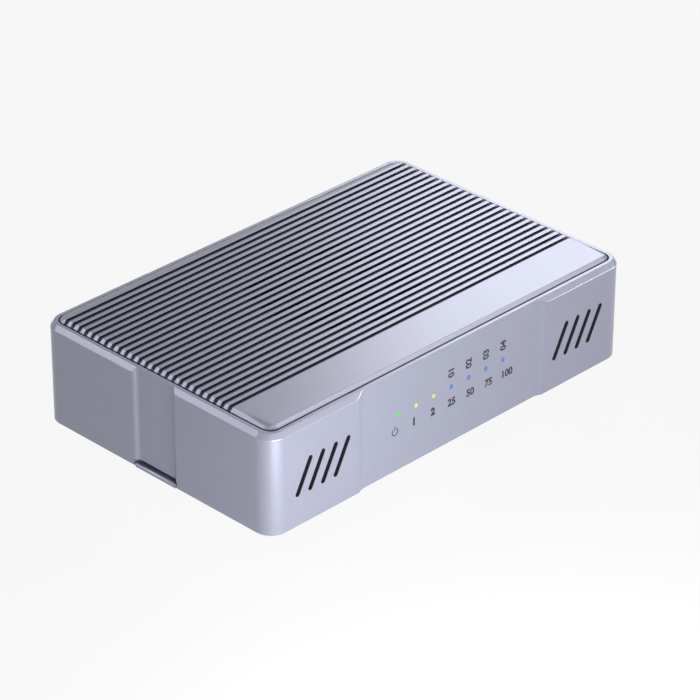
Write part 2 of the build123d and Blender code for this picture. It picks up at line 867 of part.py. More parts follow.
# Fan frame, screwed under the cover, with the bearing tube on a disc held by four struts
fan_mid = (0, vent_y)
with BuildPart() as fan_frame:
    with BuildSketch(Plane.XY.offset(fan_z)):
        with Locations(fan_mid):
            RectangleRounded(fan_size, fan_size, fan_round)
            Circle(fan_bore_r, mode=Mode.SUBTRACT)
            with GridLocations(fan_hole_step, fan_hole_step, 2, 2):
                Circle(fan_hole_r, mode=Mode.SUBTRACT)
    extrude(amount=fan_h)
    with BuildSketch(Plane.XY.offset(fan_z)):
        with Locations(fan_mid):
            Circle(fan_disc_r)
            with PolarLocations(0, fan_strut_count, start_angle=fan_strut_turn):
                Rectangle(fan_bore_r + fan_strut_bite, fan_strut_w, align=(Align.MIN, Align.CENTER))
    extrude(amount=fan_strut_t)
    with BuildSketch(Plane.XY.offset(fan_z)):
        with Locations(fan_mid):
            Circle(tube_r)
    extrude(amount=tube_h)
    with BuildSketch(Plane.XY.offset(fan_z + fan_strut_t / 2)):
        with Locations(fan_mid):
            Circle(sleeve_r)
    extrude(amount=tube_h, mode=Mode.SUBTRACT)
fan_frame.part.label = "fan_frame"
export_step(fan_frame.part, "parts/fan_frame.step")

with BuildPart() as fan_bearing:
    with BuildSketch(Plane.XY.offset(fan_z + fan_strut_t / 2)):
        with Locations(fan_mid):
            Circle(sleeve_r)
            Circle(shaft_r + shaft_fit, mode=Mode.SUBTRACT)
    extrude(amount=tube_h - fan_strut_t / 2)
fan_bearing.part.label = "fan_bearing"
export_step(fan_bearing.part, "parts/fan_bearing.step")

with BuildPart() as fan_stator:
    with BuildSketch(Plane.XY.offset(fan_z + fan_strut_t)):
        with Locations(fan_mid):
            Circle(stator_core_r)
            with PolarLocations(0, stator_teeth):
                Rectangle(stator_r, stator_tooth_w, align=(Align.MIN, Align.CENTER))
            Circle(tube_r, mode=Mode.SUBTRACT)
    extrude(amount=stator_h)
fan_stator.part.label = "fan_stator"
export_step(fan_stator.part, "parts/fan_stator.step")

# Rotor: a cup with twisted blades, a magnet ring inside it and a shaft
rotor_top = under_cover - rotor_gap_top
rotor_low = fan_z + fan_strut_t + rotor_gap_low
blade_z = (rotor_top + rotor_low) / 2
with BuildPart() as fan_rotor:
    for turn in range(blade_count):
        heading = turn * full_turn / blade_count
        out = (cos(radians(heading)), sin(radians(heading)), 0)
        across = (-sin(radians(heading)), cos(radians(heading)), 0)
        for reach, chord, angle in (
            (cup_r - cup_t, blade_root_chord, blade_root_angle),
            (rotor_r + blade_over, blade_tip_chord, blade_tip_angle),
        ):
            middle = (out[0] * reach, vent_y + out[1] * reach, blade_z)
            with BuildSketch(Plane(origin=middle, x_dir=across, z_dir=out)):
                SlotOverall(chord, blade_t, rotation=angle)
        loft()
    with BuildSketch(Plane.XY.offset(rotor_low)):
        with Locations(fan_mid):
            Circle(rotor_r)
    extrude(amount=rotor_top - rotor_low, mode=Mode.INTERSECT)
    with BuildSketch(Plane.XY.offset(rotor_low)):
        with Locations(fan_mid):
            Circle(cup_r)
    extrude(amount=rotor_top - rotor_low)
    with BuildSketch(Plane.XY.offset(rotor_low)):
        with Locations(fan_mid):
            Circle(cup_r - cup_t)
    extrude(amount=rotor_top - rotor_low - cup_top, mode=Mode.SUBTRACT)
fan_rotor.part.label = "fan_rotor"
export_step(fan_rotor.part, "parts/fan_rotor.step")

with BuildPart() as fan_magnet_ring:
    with BuildSketch(Plane.XY.offset(rotor_low + ring_gap)):
        with Locations(fan_mid):
            Circle(cup_r - cup_t)
            Circle(cup_r - cup_t - ring_t, mode=Mode.SUBTRACT)
    extrude(amount=stator_h)
fan_magnet_ring.part.label = "fan_magnet_ring"
export_step(fan_magnet_ring.part, "parts/fan_magnet_ring.step")

with BuildPart() as fan_shaft:
    with BuildSketch(Plane.XY.offset(fan_z + fan_strut_t / 2 + ring_gap)):
        with Locations(fan_mid):
            Circle(shaft_r)
    extrude(amount=rotor_top - cup_top - fan_z - fan_strut_t / 2 - ring_gap)
fan_shaft.part.label = "fan_shaft"
export_step(fan_shaft.part, "parts/fan_shaft.step")

with BuildPart() as fan_screws:
    with BuildSketch(Plane.XY.offset(fan_z)):
        with Locations(fan_mid):
            with GridLocations(fan_hole_step, fan_hole_step, 2, 2):
                Circle(fan_head_r)
    extrude(amount=-fan_head_t)
    with BuildSketch(Plane.XY.offset(fan_z)):
        with Locations(fan_mid):
            with GridLocations(fan_hole_step, fan_hole_step, 2, 2):
                Circle(fan_screw_r)
    extrude(amount=fan_h + fan_screw_in)
    with BuildSketch(Plane.XY.offset(fan_z - fan_head_t)):
        with Locations(fan_mid):
            with GridLocations(fan_hole_step, fan_hole_step, 2, 2):
                Rectangle(fan_driver_l, driver_w)
                Rectangle(driver_w, fan_driver_l)
    extrude(amount=driver_deep, mode=Mode.SUBTRACT)
fan_screws.part.label = "fan_screws"
export_step(fan_screws.part, "parts/fan_screws.step")

# Fan lead: down from the fan into a plug that stands in an open header
plug_l = header_l - 2 * (header_wall + plug_fit)
plug_w = header_w - 2 * (header_wall + plug_fit)
plug_low = board_top + header_wall + button_slack
plug_high = plug_low + plug_h
with BuildPart() as fan_header:
    with Locations((fan_plug_x, fan_plug_y, board_top)):
        Box(header_l, header_w, header_h, align=(Align.CENTER, Align.CENTER, Align.MIN))
    with Locations((fan_plug_x, fan_plug_y, board_top + header_wall)):
        Box(
            header_l - 2 * header_wall,
            header_w - 2 * header_wall,
            header_h,
            align=(Align.CENTER, Align.CENTER, Align.MIN),
            mode=Mode.SUBTRACT,
        )
fan_header.part.label = "fan_header"
export_step(fan_header.part, "parts/fan_header.step")

with BuildPart() as fan_plug:
    with Locations((fan_plug_x, fan_plug_y, plug_low)):
        Box(plug_l, plug_w, plug_h, align=(Align.CENTER, Align.CENTER, Align.MIN))
    fillet(fan_plug.edges().filter_by(Axis.Z), plug_fit)
fan_plug.part.label = "fan_plug"
export_step(fan_plug.part, "parts/fan_plug.step")

lead_z = fan_z + lead_r + fan_strut_t
lead_start = (fan_size / 2, fan_plug_y, lead_z)
with BuildPart() as fan_lead:
    with BuildLine():
        FilletPolyline(
            lead_start,
            (fan_plug_x, fan_plug_y, lead_z),
            (fan_plug_x, fan_plug_y, plug_high),
            radius=lead_bend * (lead_z - plug_high),
        )
    with BuildSketch(Plane(origin=lead_start, z_dir=(1, 0, 0))):
        Circle(lead_r)
    sweep()
fan_lead.part.label = "fan_lead"
export_step(fan_lead.part, "parts/fan_lead.step")
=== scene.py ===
"""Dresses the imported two-bay drive enclosure: visible surfaces, finishes, studio and camera.

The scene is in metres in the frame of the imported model: X along the front face, +Y to the
back, +Z up, with the origin on the desk under the middle of the enclosure. Points, sizes and
constants are in millimetres until they reach a mesh, and angles are in degrees.
"""

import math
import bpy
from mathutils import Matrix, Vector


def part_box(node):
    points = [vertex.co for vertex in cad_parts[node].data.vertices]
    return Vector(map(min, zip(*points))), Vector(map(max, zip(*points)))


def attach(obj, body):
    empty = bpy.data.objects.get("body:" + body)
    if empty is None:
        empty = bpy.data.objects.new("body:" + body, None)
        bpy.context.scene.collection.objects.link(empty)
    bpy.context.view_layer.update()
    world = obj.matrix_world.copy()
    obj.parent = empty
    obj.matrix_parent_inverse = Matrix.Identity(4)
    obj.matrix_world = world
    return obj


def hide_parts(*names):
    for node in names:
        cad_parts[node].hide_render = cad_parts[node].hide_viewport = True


bl_info = {
    "name": "Drive Enclosure Dresser",
    "version": (1, 0, 0),
    "blender": (4, 5, 0),
    "location": "3D View > Sidebar > Enclosure",
    "description": "Builds the shell, cover, fan, feet, marks and finishes of a drive enclosure",
    "category": "Object",
}

from functools import partial

import bpy
import numpy as np
from bpy.props import FloatProperty, FloatVectorProperty, IntProperty, PointerProperty
from mathutils import Matrix, Vector

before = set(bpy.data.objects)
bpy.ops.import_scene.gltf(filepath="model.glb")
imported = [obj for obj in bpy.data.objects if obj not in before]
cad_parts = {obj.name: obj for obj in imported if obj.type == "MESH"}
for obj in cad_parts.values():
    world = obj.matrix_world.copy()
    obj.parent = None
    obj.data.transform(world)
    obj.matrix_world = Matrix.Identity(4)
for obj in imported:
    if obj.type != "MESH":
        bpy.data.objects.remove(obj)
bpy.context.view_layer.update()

MM = 0.001


def in_mm(box):
    """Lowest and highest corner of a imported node's box, in millimetres."""
    return tuple(np.array(corner) / MM for corner in box)


BODY_LOW, BODY_HIGH = in_mm(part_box("body_frame"))
COVER_LOW, COVER_HIGH = in_mm(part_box("top_cover"))
BOARD_TOP = in_mm(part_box("main_board"))[1][2]


# Colours and nodes


CLOUD_CELLS = 30
SHADE = 0.88
GLOSS_SPREAD = 0.05
BUMP = 0.6


def linear(code):
    """Linear RGBA of an sRGB hex colour: each channel goes through the sRGB curve."""
    channels = np.array([int(code[i : i + 2], 16) for i in (1, 3, 5)]) / 255
    low = channels / 12.92
    high = ((channels + 0.055) / 1.055) ** 2.4
    return (*np.where(channels <= 0.04045, low, high).tolist(), 1.0)


def rgba(colour):
    """Linear RGBA of a hex colour, or of a colour property, which is linear already."""
    return linear(colour) if isinstance(colour, str) else (*colour, 1.0)


def add_node(tree, kind, sockets=None, **settings):
    """Adds a node; sockets maps an input's name or number to a value or an output to link."""
    node = tree.nodes.new(kind)
    for name, value in settings.items():
        setattr(node, name, value)
    for name, value in (sockets or {}).items():
        if isinstance(value, bpy.types.NodeSocket):
            tree.links.new(value, node.inputs[name])
        else:
            node.inputs[name].default_value = value
    return node


def emptied(owner):
    """Empties the nodes of a material or a world, and returns add_node for its tree."""
    owner.use_nodes = True
    owner.node_tree.nodes.clear()
    return partial(add_node, owner.node_tree)


def finish(
    name, colour, roughness, metallic=0.0, grain_mm=0.4, relief_mm=0.01, tint=None, **shader
):
    """A solid material whose noise cells, grain_mm across, make its bump and vary its gloss.

    A cloud CLOUD_CELLS times coarser moves its colour towards tint, or else a shade darker.
    """
    base = rgba(colour)
    other = rgba(tint) if tint else (*(SHADE * part for part in base[:3]), 1.0)
    material = bpy.data.materials.new(name)
    add = emptied(material)
    place = add("ShaderNodeTexCoord").outputs["Object"]
    fine, cloud = (
        add("ShaderNodeTexNoise", {"Vector": place, "Scale": 1 / (size * MM), "Detail": 3.0})
        for size in (grain_mm, CLOUD_CELLS * grain_mm)
    )
    tones = {"Factor": cloud.outputs["Fac"], 6: base, 7: other}
    low, high = roughness - GLOSS_SPREAD, roughness + GLOSS_SPREAD
    gloss = {"Value": fine.outputs["Fac"], "To Min": low, "To Max": high}
    relief = {"Height": fine.outputs["Fac"], "Distance": relief_mm * MM, "Strength": BUMP}
    sockets = {
        "Base Color": add("ShaderNodeMix", tones, data_type="RGBA").outputs[2],
        "Roughness": add("ShaderNodeMapRange", gloss).outputs["Result"],
        "Metallic": metallic,
        "Normal": add("ShaderNodeBump", relief).outputs["Normal"],
        **shader,
    }
    surface = add("ShaderNodeBsdfPrincipled", sockets)
    add("ShaderNodeOutputMaterial", {"Surface": surface.outputs["BSDF"]})
    return material


# Meshes


SHARP_ANGLE = 30
BEVEL_ANGLE = 40
SMOOTH_ANGLE = 32
WELD_GAP = 0.002
FLATS_WEIGHT = 60


def add_object(name, data):
    """A new object at the origin with the given data."""
    item = bpy.data.objects.new(name, data)
    bpy.context.scene.collection.objects.link(item)
    return item


def grid_quads(rows, columns, round_rows=False, round_columns=False):
    """Corner numbers of each quad of a grid of points, which may close on itself."""
    row = np.arange(rows if round_rows else rows - 1)[:, None]
    column = np.arange(columns if round_columns else columns - 1)[None, :]
    next_row, next_column = (row + 1) % rows, (column + 1) % columns
    corners = [
        row * columns + column,
        row * columns + next_column,
        next_row * columns + next_column,
        next_row * columns + column,
    ]
    return np.stack(corners, axis=-1).reshape(-1, 4)


def new_mesh(name, points_mm, faces):
    """A mesh from points in millimetres."""
    mesh = bpy.data.meshes.new(name)
    mesh.from_pydata((np.asarray(points_mm) * MM).tolist(), [], [list(face) for face in faces])
    return mesh


def shade(mesh, material, sharp_angle=SHARP_ANGLE):
    """Gives a mesh one material, and smooth faces with sharp edges above an angle in degrees."""
    mesh.materials.clear()
    mesh.materials.append(material)
    mesh.shade_smooth()
    mesh.set_sharp_from_angle(angle=math.radians(sharp_angle))


def make_piece(name, points_mm, faces, material, body, sharp_angle=SHARP_ANGLE):
    """A mesh object at the origin, from points in millimetres, that rides on a body."""
    mesh = new_mesh(name, points_mm, faces)
    mesh.validate()
    piece = add_object(name, mesh)
    shade(mesh, material, sharp_angle)
    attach(piece, body)
    return piece


def face_vectors(piece, field):
    """The centre or the normal of each face of a piece."""
    vectors = np.empty(3 * len(piece.data.polygons))
    piece.data.polygons.foreach_get(field, vectors)
    return vectors.reshape(-1, 3)


def paint_faces(piece, material, chosen):
    """Gives the chosen faces of a piece a second material."""
    if not chosen.any():
        raise RuntimeError(f"{piece.name} has no faces for {material.name}")
    piece.data.materials.append(material)
    piece.data.polygons.foreach_set("material_index", chosen.astype(np.int32))


def keep_flats_flat(piece):
    """Weights the normals by face area, so wide flats stay flat beside their eased edges."""
    weighted = piece.modifiers.new("flats", "WEIGHTED_NORMAL")
    weighted.keep_sharp = True
    weighted.weight = FLATS_WEIGHT


def skin(loops):
    """Points and faces of a tube through equal loops of points, with flat ends."""
    loops = np.asarray(loops, float)
    rows, columns = loops.shape[:2]
    faces = grid_quads(rows, columns, round_columns=True).tolist()
    faces.append(list(range(columns))[::-1])
    faces.append(list(range((rows - 1) * columns, rows * columns)))
    return loops.reshape(-1, 3), faces


def join(parts):
    """One set of points and faces from several."""
    points, faces, start = [], [], 0
    for part_points, part_faces in parts:
        points.append(part_points)
        faces += [[corner + start for corner in face] for face in part_faces]
        start += len(part_points)
    return np.concatenate(points), faces


def turned(profile, centre, steps=48):
    """Surface of revolution about Z: profile rows (radius, height) carried round the circle
    (radius cos a, radius sin a) + centre."""
    angle = np.linspace(0, 2 * np.pi, steps, endpoint=False)
    radius, height = np.asarray(profile, float).T[..., None]
    x, y = centre[0] + radius * np.cos(angle), centre[1] + radius * np.sin(angle)
    return skin(np.stack(np.broadcast_arrays(x, y, height), axis=-1))


def rounded_corners(points, radius, steps=4):
    """A closed line whose corners are eased: near each corner v the line follows
    (1 - t)^2 a + 2 t (1 - t) v + t^2 b, where a and b lie radius before and after it."""
    corner = np.asarray(points, float)
    before = np.roll(corner, 1, axis=0) - corner
    after = np.roll(corner, -1, axis=0) - corner
    start = corner + radius * before / np.linalg.norm(before, axis=1, keepdims=True)
    end = corner + radius * after / np.linalg.norm(after, axis=1, keepdims=True)
    t = np.linspace(0, 1, steps)[None, :, None]
    curve = (1 - t) ** 2 * start[:, None] + 2 * t * (1 - t) * corner[:, None] + t**2 * end[:, None]
    return curve.reshape(-1, 2)


def stadium(length, width, lean=0.0, steps=10):
    """A slot's outline: two half circles of the slot's width, turned by lean degrees."""
    turn = np.linspace(-np.pi / 2, np.pi / 2, steps)
    side = np.stack([(length - width) / 2 + width / 2 * np.cos(turn), width / 2 * np.sin(turn)], 1)
    outline = np.concatenate([side, -side])
    angle = math.radians(lean)
    rotation = np.array([[math.cos(angle), math.sin(angle)], [-math.sin(angle), math.cos(angle)]])
    return outline @ rotation


def blocks(centres, size):
    """Boxes of one size round many centres: each corner is centre + size / 2 * (+-1, +-1, +-1)."""
    signs = np.array([[x, y, z] for z in (-1, 1) for y in (-1, 1) for x in (-1, 1)])
    centres = np.asarray(centres, float)
    points = (centres[:, None] + signs * np.asarray(size) / 2).reshape(-1, 3)
    box = np.array(
        [(0, 2, 3, 1), (4, 5, 7, 6), (0, 1, 5, 4), (2, 6, 7, 3), (0, 4, 6, 2), (1, 3, 7, 5)]
    )
    faces = (np.arange(len(centres))[:, None, None] * 8 + box).reshape(-1, 4)
    return points, faces.tolist()


def ease_cad_node(name, material, round_mm=0.0):
    """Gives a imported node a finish; modifiers weld it, ease its edges and smooth it."""
    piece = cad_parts[name]
    piece.data.materials.clear()
    piece.data.materials.append(material)
    weld = piece.modifiers.new("weld", "WELD")
    weld.merge_threshold = WELD_GAP * MM
    if round_mm:
        ease = piece.modifiers.new("ease", "BEVEL")
        ease.width = round_mm * MM
        ease.segments = 2
        ease.limit_method = "ANGLE"
        ease.angle_limit = math.radians(BEVEL_ANGLE)
    smooth = piece.modifiers.new("smooth", "NODES")
    smooth.node_group = bpy.data.node_groups.get("smooth_by_angle") or smooth_by_angle()


def smooth_by_angle():
    """A node group that shades faces smooth, apart from edges sharper than SMOOTH_ANGLE."""
    tree = bpy.data.node_groups.new("smooth_by_angle", "GeometryNodeTree")
    for way in ("INPUT", "OUTPUT"):
        tree.interface.new_socket("Geometry", in_out=way, socket_type="NodeSocketGeometry")
    add = partial(add_node, tree)
    geometry = add("NodeGroupInput").outputs[0]
    angle = add("GeometryNodeInputMeshEdgeAngle").outputs["Unsigned Angle"]
    limit = {0: angle, 1: math.radians(SMOOTH_ANGLE)}
    below = add("FunctionNodeCompare", limit, data_type="FLOAT", operation="LESS_THAN")
    for domain, smooth in (("FACE", True), ("EDGE", below.outputs["Result"])):
        sockets = {"Geometry": geometry, "Shade Smooth": smooth}
        geometry = add("GeometryNodeSetShadeSmooth", sockets, domain=domain).outputs[0]
    add("NodeGroupOutput", {0: geometry})
    return tree


# Sizes and settings that a user would change


def length_setting(name, description, size_mm, low_mm=0.0):
    """A length setting, given in millimetres and kept in metres."""
    return FloatProperty(
        name=name, description=description, default=size_mm * MM, min=low_mm * MM, unit="LENGTH"
    )


def colour_setting(name, description, code):
    """A colour setting with an sRGB hex colour as its default."""
    return FloatVectorProperty(
        name=name, description=description, default=linear(code)[:3], subtype="COLOR"
    )


def angle_setting(name, description, degrees):
    """An angle setting, given in degrees and kept in radians."""
    return FloatProperty(
        name=name, description=description, default=math.radians(degrees), subtype="ANGLE"
    )


def power_setting(name, description, watts):
    """The power setting of a lamp, in watts."""
    return FloatProperty(name=name, description=description, default=watts, min=0.0, unit="POWER")


class EnclosureSizes(bpy.types.PropertyGroup):
    """Sizes of the details that are built here."""

    edge_ease: length_setting("Edge ease", "Rounding of the shell's edges", 0.1, 0.02)
    hole_ease: length_setting("Hole ease", "Bevel round holes and slots", 0.1, 0.02)
    groove_ease: length_setting("Groove ease", "Rounding of each rib's top edges", 0.09, 0.01)
    mark_height: length_setting("Mark height", "Height of the printed numbers", 1.95, 0.5)
    blade_count: IntProperty(
        name="Fan blades", description="Blades round the fan's hub", default=9, min=3
    )


class EnclosureColours(bpy.types.PropertyGroup):
    """Colours of the finishes that show, and the strength of the status lights."""

    aluminium: colour_setting("Aluminium", "Shell and ribs", "#9193a4")
    aluminium_cloud: colour_setting("Aluminium cloud", "Tone of its cloudy spots", "#8d8fa0")
    # Painted shade: this colour of the channels between the ribs stands in for the shade in the
    # grooves
    channels: colour_setting("Channels", "Floors of the channels between ribs", "#383a4c")
    print_ink: colour_setting("Print", "Ink of the printed numbers", "#15161c")
    green_light: colour_setting("Green light", "Light pipe that shows the power", "#439d53")
    yellow_light: colour_setting("Yellow lights", "Light pipes of the two drives", "#a2a954")
    blue_light: colour_setting("Blue lights", "Light pipes of the four modes", "#3c609c")
    light_strength: FloatProperty(
        name="Light strength", description="Emission of the status lights", default=0.12, min=0.0
    )


class EnclosureStudio(bpy.types.PropertyGroup):
    """Camera, lamps and world."""

    azimuth: angle_setting("Azimuth", "Camera's turn from the front to the right", -45.412)
    elevation: angle_setting("Elevation", "Camera's height above the horizon", 30.048)
    roll: angle_setting("Roll", "Camera's roll", 0.198)
    distance: length_setting("Distance", "Camera's distance", 897.4)
    lens: FloatProperty(name="Lens", description="Focal length, mm", default=184.71, unit="CAMERA")
    shift_right: length_setting("Shift right", "Camera's shift to its right", 3.039, -1000)
    shift_up: length_setting("Shift up", "Camera's shift to its upper side", -6.211, -1000)
    aim_height: length_setting("Aim height", "Height that camera and high lamps face", 23.5)
    world_level: FloatProperty(
        name="World", description="Strength of the light from all round", default=0.05, min=0.0
    )
    key_watts: power_setting("Key lamp", "Low softbox close to the front", 0.46)
    side_watts: power_setting("Side lamp", "Low softbox at the right", 2.0)
    edge_watts: power_setting("Edge lamp", "High softbox at the front right", 0.3)
    top_watts: power_setting("Top lamp", "Softbox at the back right", 0.49)
    fill_watts: power_setting("Fill lamp", "Softbox at the back left", 0.36)
    rim_watts: power_setting("Rim lamp", "Softbox at the left, for the rim", 0.22)


# Finishes, each named for what the real piece is made of


def blasted_aluminium():
    """Anodised aluminium, bead-blasted: a soft even sheen with a slight blue-violet cast.

    The blast marks are about 0.05 mm; they are drawn 0.16 mm coarse so that they show.
    """
    name = "blasted_anodised_aluminium"
    colours = bpy.context.scene.enclosure_colours
    return bpy.data.materials.get(name) or finish(
        name,
        tuple(colours.aluminium),
        roughness=0.3,
        metallic=0.6,
        grain_mm=0.16,
        relief_mm=0.006,
        tint=tuple(colours.aluminium_cloud),
    )


def make_cad_finishes():
    """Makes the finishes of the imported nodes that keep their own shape."""
    blasted_aluminium()
    # Nickel-plated magnets: bright and slightly warm
    finish("nickel_plate", "#c6c2b8", 0.22, 1.0, grain_mm=0.5, relief_mm=0.002)
    # Black zinc screws: dark metal with a dull shine
    finish("black_zinc_steel", "#3a3b3f", 0.35, 1.0, grain_mm=0.2, relief_mm=0.004)
    # Stainless steel shell and posts: cool, fine drawn sheen
    finish("drawn_stainless_steel", "#b9bbbf", 0.28, 1.0, grain_mm=0.25, relief_mm=0.003)
    # Turned brass: warm and smooth
    finish("turned_brass", "#c8a556", 0.3, 1.0, grain_mm=0.3, relief_mm=0.003)
    # Glass-filled nylon: black with a faint mottled skin
    finish("moulded_black_nylon", "#1b1c1f", 0.48, grain_mm=0.3, tint="#222327")
    # Moulded ABS: dark grey with a soft sheen
    finish("moulded_dark_abs", "#2f3034", 0.4, relief_mm=0.006)
    # Polished black ABS keys: smoother than the rest
    finish("polished_black_abs", "#151619", 0.25, grain_mm=0.6, relief_mm=0.003)
    # Moulded epoxy of chips: matt, nearly black
    finish("moulded_epoxy", "#202124", 0.55, grain_mm=0.2, relief_mm=0.006, tint="#26272a")
    # Pressed ferrite: dark, coarse and matt
    finish("pressed_ferrite", "#38383b", 0.62, grain_mm=0.25, relief_mm=0.02, tint="#313134")
    # Black anodised heat sink: satin extrusion
    finish("anodised_extrusion", "#4a4c55", 0.4, 1.0, grain_mm=0.25, relief_mm=0.004)
    # Aluminium can with a clear sleeve: bright
    finish("drawn_aluminium_can", "#c9ccd2", 0.25, 1.0, grain_mm=0.5, relief_mm=0.002)
    # Silicone pad: matt blue-grey with a faint weave of filler
    finish("silicone_pad", "#8b9ab0", 0.7, grain_mm=0.5, relief_mm=0.02, tint="#8292aa")
    # Black fan plastic: PBT with a slight gloss
    finish("moulded_pbt", "#17181b", 0.38, grain_mm=0.45, relief_mm=0.005)
    # Enamelled copper wire: warm, with the ridges of its turns
    finish("enamelled_copper", "#b4673b", 0.35, 1.0, 0.25, relief_mm=0.03, tint="#9a5430")
    # Natural nylon plug and header: ivory, slightly glossy
    finish("natural_nylon", "#e6e1d0", 0.4, grain_mm=0.5, relief_mm=0.004)
    # PVC wire jacket: black and slightly glossy
    finish("vinyl_jacket", "#1d1e21", 0.42, relief_mm=0.004)
    # LED packages: white ceramic with pale phosphor
    finish("led_phosphor", "#efe9c4", 0.45, grain_mm=0.3, relief_mm=0.004)


# The nodes of each finish, by the ease of their edges in mm
CAD_NODES = {
    "blasted_anodised_aluminium": {0.12: "base_plate"},
    "nickel_plate": {0.12: "frame_magnets cover_magnets"},
    "black_zinc_steel": {0: "base_screws board_screws fan_screws"},
    "drawn_stainless_steel": {
        0.06: "latch_post_a latch_post_b",
        0.05: "usb_c_shell",
        0: "dc_jack_pin fan_shaft",
    },
    "turned_brass": {0: "board_standoffs fan_bearing"},
    "moulded_black_nylon": {
        0.12: "m2_socket_a m2_socket_b dc_jack_housing",
        0.1: "led_header",
        0.08: "power_plunger mode_plunger set_plunger",
        0.05: "usb_c_tongue",
    },
    "moulded_dark_abs": {
        0.12: "power_switch mode_switch set_switch",
        0.08: "ssd_latch_a ssd_latch_b",
    },
    "polished_black_abs": {0: "power_button mode_button set_button"},
    "moulded_epoxy": {0.08: "raid_controller bridge_chips support_chips"},
    "pressed_ferrite": {0.15: "power_inductors", 0: "fan_magnet_ring"},
    "anodised_extrusion": {0.08: "chip_heatsink"},
    "drawn_aluminium_can": {0: "board_capacitors"},
    "silicone_pad": {0.2: "thermal_pad_a thermal_pad_b"},
    "moulded_pbt": {0.15: "fan_frame"},
    "enamelled_copper": {0.1: "fan_stator"},
    "natural_nylon": {0.1: "fan_header fan_plug"},
    "vinyl_jacket": {0: "fan_lead"},
    "led_phosphor": {0.05: "led_chips"},
}


TRACE_PITCH = 1.3
TRACE_PATCH = 9
TRACE_RELIEF = 0.03
TRACE_LOW, TRACE_HIGH = 0.86, 0.92


def solder_mask():
    """Green solder mask over copper: glossy lacquer whose traces show as slightly lighter lines.

    The traces lie TRACE_PITCH apart, each where its wave is above TRACE_LOW. A cell pattern
    decides where they run along X and where along Y.
    """
    material = bpy.data.materials.new("green_solder_mask")
    add = emptied(material)
    place = add("ShaderNodeTexCoord").outputs["Object"]
    # A wave texture repeats every 2 pi / 20 of its scaled length
    wave = {"Vector": place, "Scale": 2 * math.pi / (20 * TRACE_PITCH * MM)}
    waves = [
        add("ShaderNodeTexWave", wave, bands_direction=axis).outputs["Fac"] for axis in ("X", "Y")
    ]
    cells = {"Vector": place, "Scale": 1 / (TRACE_PATCH * MM)}
    patch = add("ShaderNodeTexVoronoi", cells, distance="CHEBYCHEV").outputs["Color"]
    which = add("ShaderNodeMath", {0: patch, 1: 0.5}, operation="GREATER_THAN").outputs[0]
    lines = add("ShaderNodeMix", {"Factor": which, 2: waves[0], 3: waves[1]}).outputs[0]
    ramp = {"Value": lines, "From Min": TRACE_LOW, "From Max": TRACE_HIGH}
    trace = add("ShaderNodeMapRange", ramp).outputs["Result"]
    tones = {"Factor": trace, 6: linear("#11482c"), 7: linear("#1d6a41")}
    relief = {"Height": trace, "Distance": TRACE_RELIEF * MM, "Strength": BUMP}
    sockets = {
        "Base Color": add("ShaderNodeMix", tones, data_type="RGBA").outputs[2],
        "Roughness": 0.32,
        "Coat Weight": 0.4,
        "Normal": add("ShaderNodeBump", relief).outputs["Normal"],
    }
    surface = add("ShaderNodeBsdfPrincipled", sockets)
    add("ShaderNodeOutputMaterial", {"Surface": surface.outputs["BSDF"]})
    return material


def lit_polycarbonate(name, colour, strength):
    """Frosted polycarbonate light pipe, lit from behind by its chip."""
    emission = {"Emission Color": rgba(colour), "Emission Strength": strength}
    return finish(name, colour, 0.35, grain_mm=0.2, relief_mm=0.004, **emission)


# Shell


FRAME_WALL = 3.6
RIM_W = 2.0
EDGE_IN = 0.95
EDGE_DOWN = 1.5
LOWER_CHAMFER = 0.3
SHELL_CORNER = 5.0
RECESS = 1.05
COVER_SKIRT = 1.8
FRONT_BLOCK = 28.2
REAR_BLOCK = 30.3
LONG_BLEND = 4.4
FINGER_W = 15.7
FINGER_BLEND = 2.05
POST = 9.4
POST_INSET = 4.5
POST_POWER = 8
POST_EASE = 0.12
POST_TAPER = 0.975
POCKET_R = 2.55
POCKET_DEEP = 1.2
PLATE_T = 1.2
MAGNET_AIR = 0.3
COVER_GAP = 0.1
LOUVER_COUNT = 4
LOUVER_PITCH = 4.22
LOUVER_LEN = 10.7
LOUVER_W = 1.45
LOUVER_LEAN = 63.0
LOUVER_END_GAP = 17.4
LOUVER_UP = 13.2
SLOT_SKIN = 0.3
SLIT_W = 15.3
SLIT_H = 1.9
LIGHT_COUNT = 7
LIGHT_HOLE = 1.3
LIGHT_HOLE_EASE = 0.03
LIGHT_END = 0.8
BUTTON_FLANGE = 1.4
PORT_PLAY = 0.4
JACK_HOLE = 8.2
LONG_STEPS = 26
FINGER_STEPS = 16
CORNER_STEPS = 15
SWEEP_LEAD = 0.25
SHELL_SOFT = 0.03
CUT_PAST = 1.0
PANEL_Y = RECESS - BODY_HIGH[1]


def swept_step(distance, blend, step):
    """Depth of an S-shaped step at a distance past its start.

    Two equal arcs of radius (blend^2 + step^2) / (4 step) meet halfway: the first gives
    radius - sqrt(radius^2 - distance^2), and the second the same from the far end.
    """
    radius = (blend**2 + step**2) / (4 * step)
    t = np.clip(distance, 0, blend)
    first = radius - np.sqrt(radius**2 - np.minimum(t, blend / 2) ** 2)
    second = step - radius + np.sqrt(radius**2 - (blend - np.maximum(t, blend / 2)) ** 2)
    return np.where(t < blend / 2, first, second)


def side_stations(half, width, blend, steps):
    """Places along one side: close together where its recess sweeps in and out."""
    start, end = width / 2 - blend, width / 2
    flat = [0, start / 2, start - SWEEP_LEAD]
    block = [end + SWEEP_LEAD, (half + end) / 2, half]
    right = np.concatenate([flat, np.linspace(start, end, steps), block])
    return np.concatenate([-right[:0:-1], right])


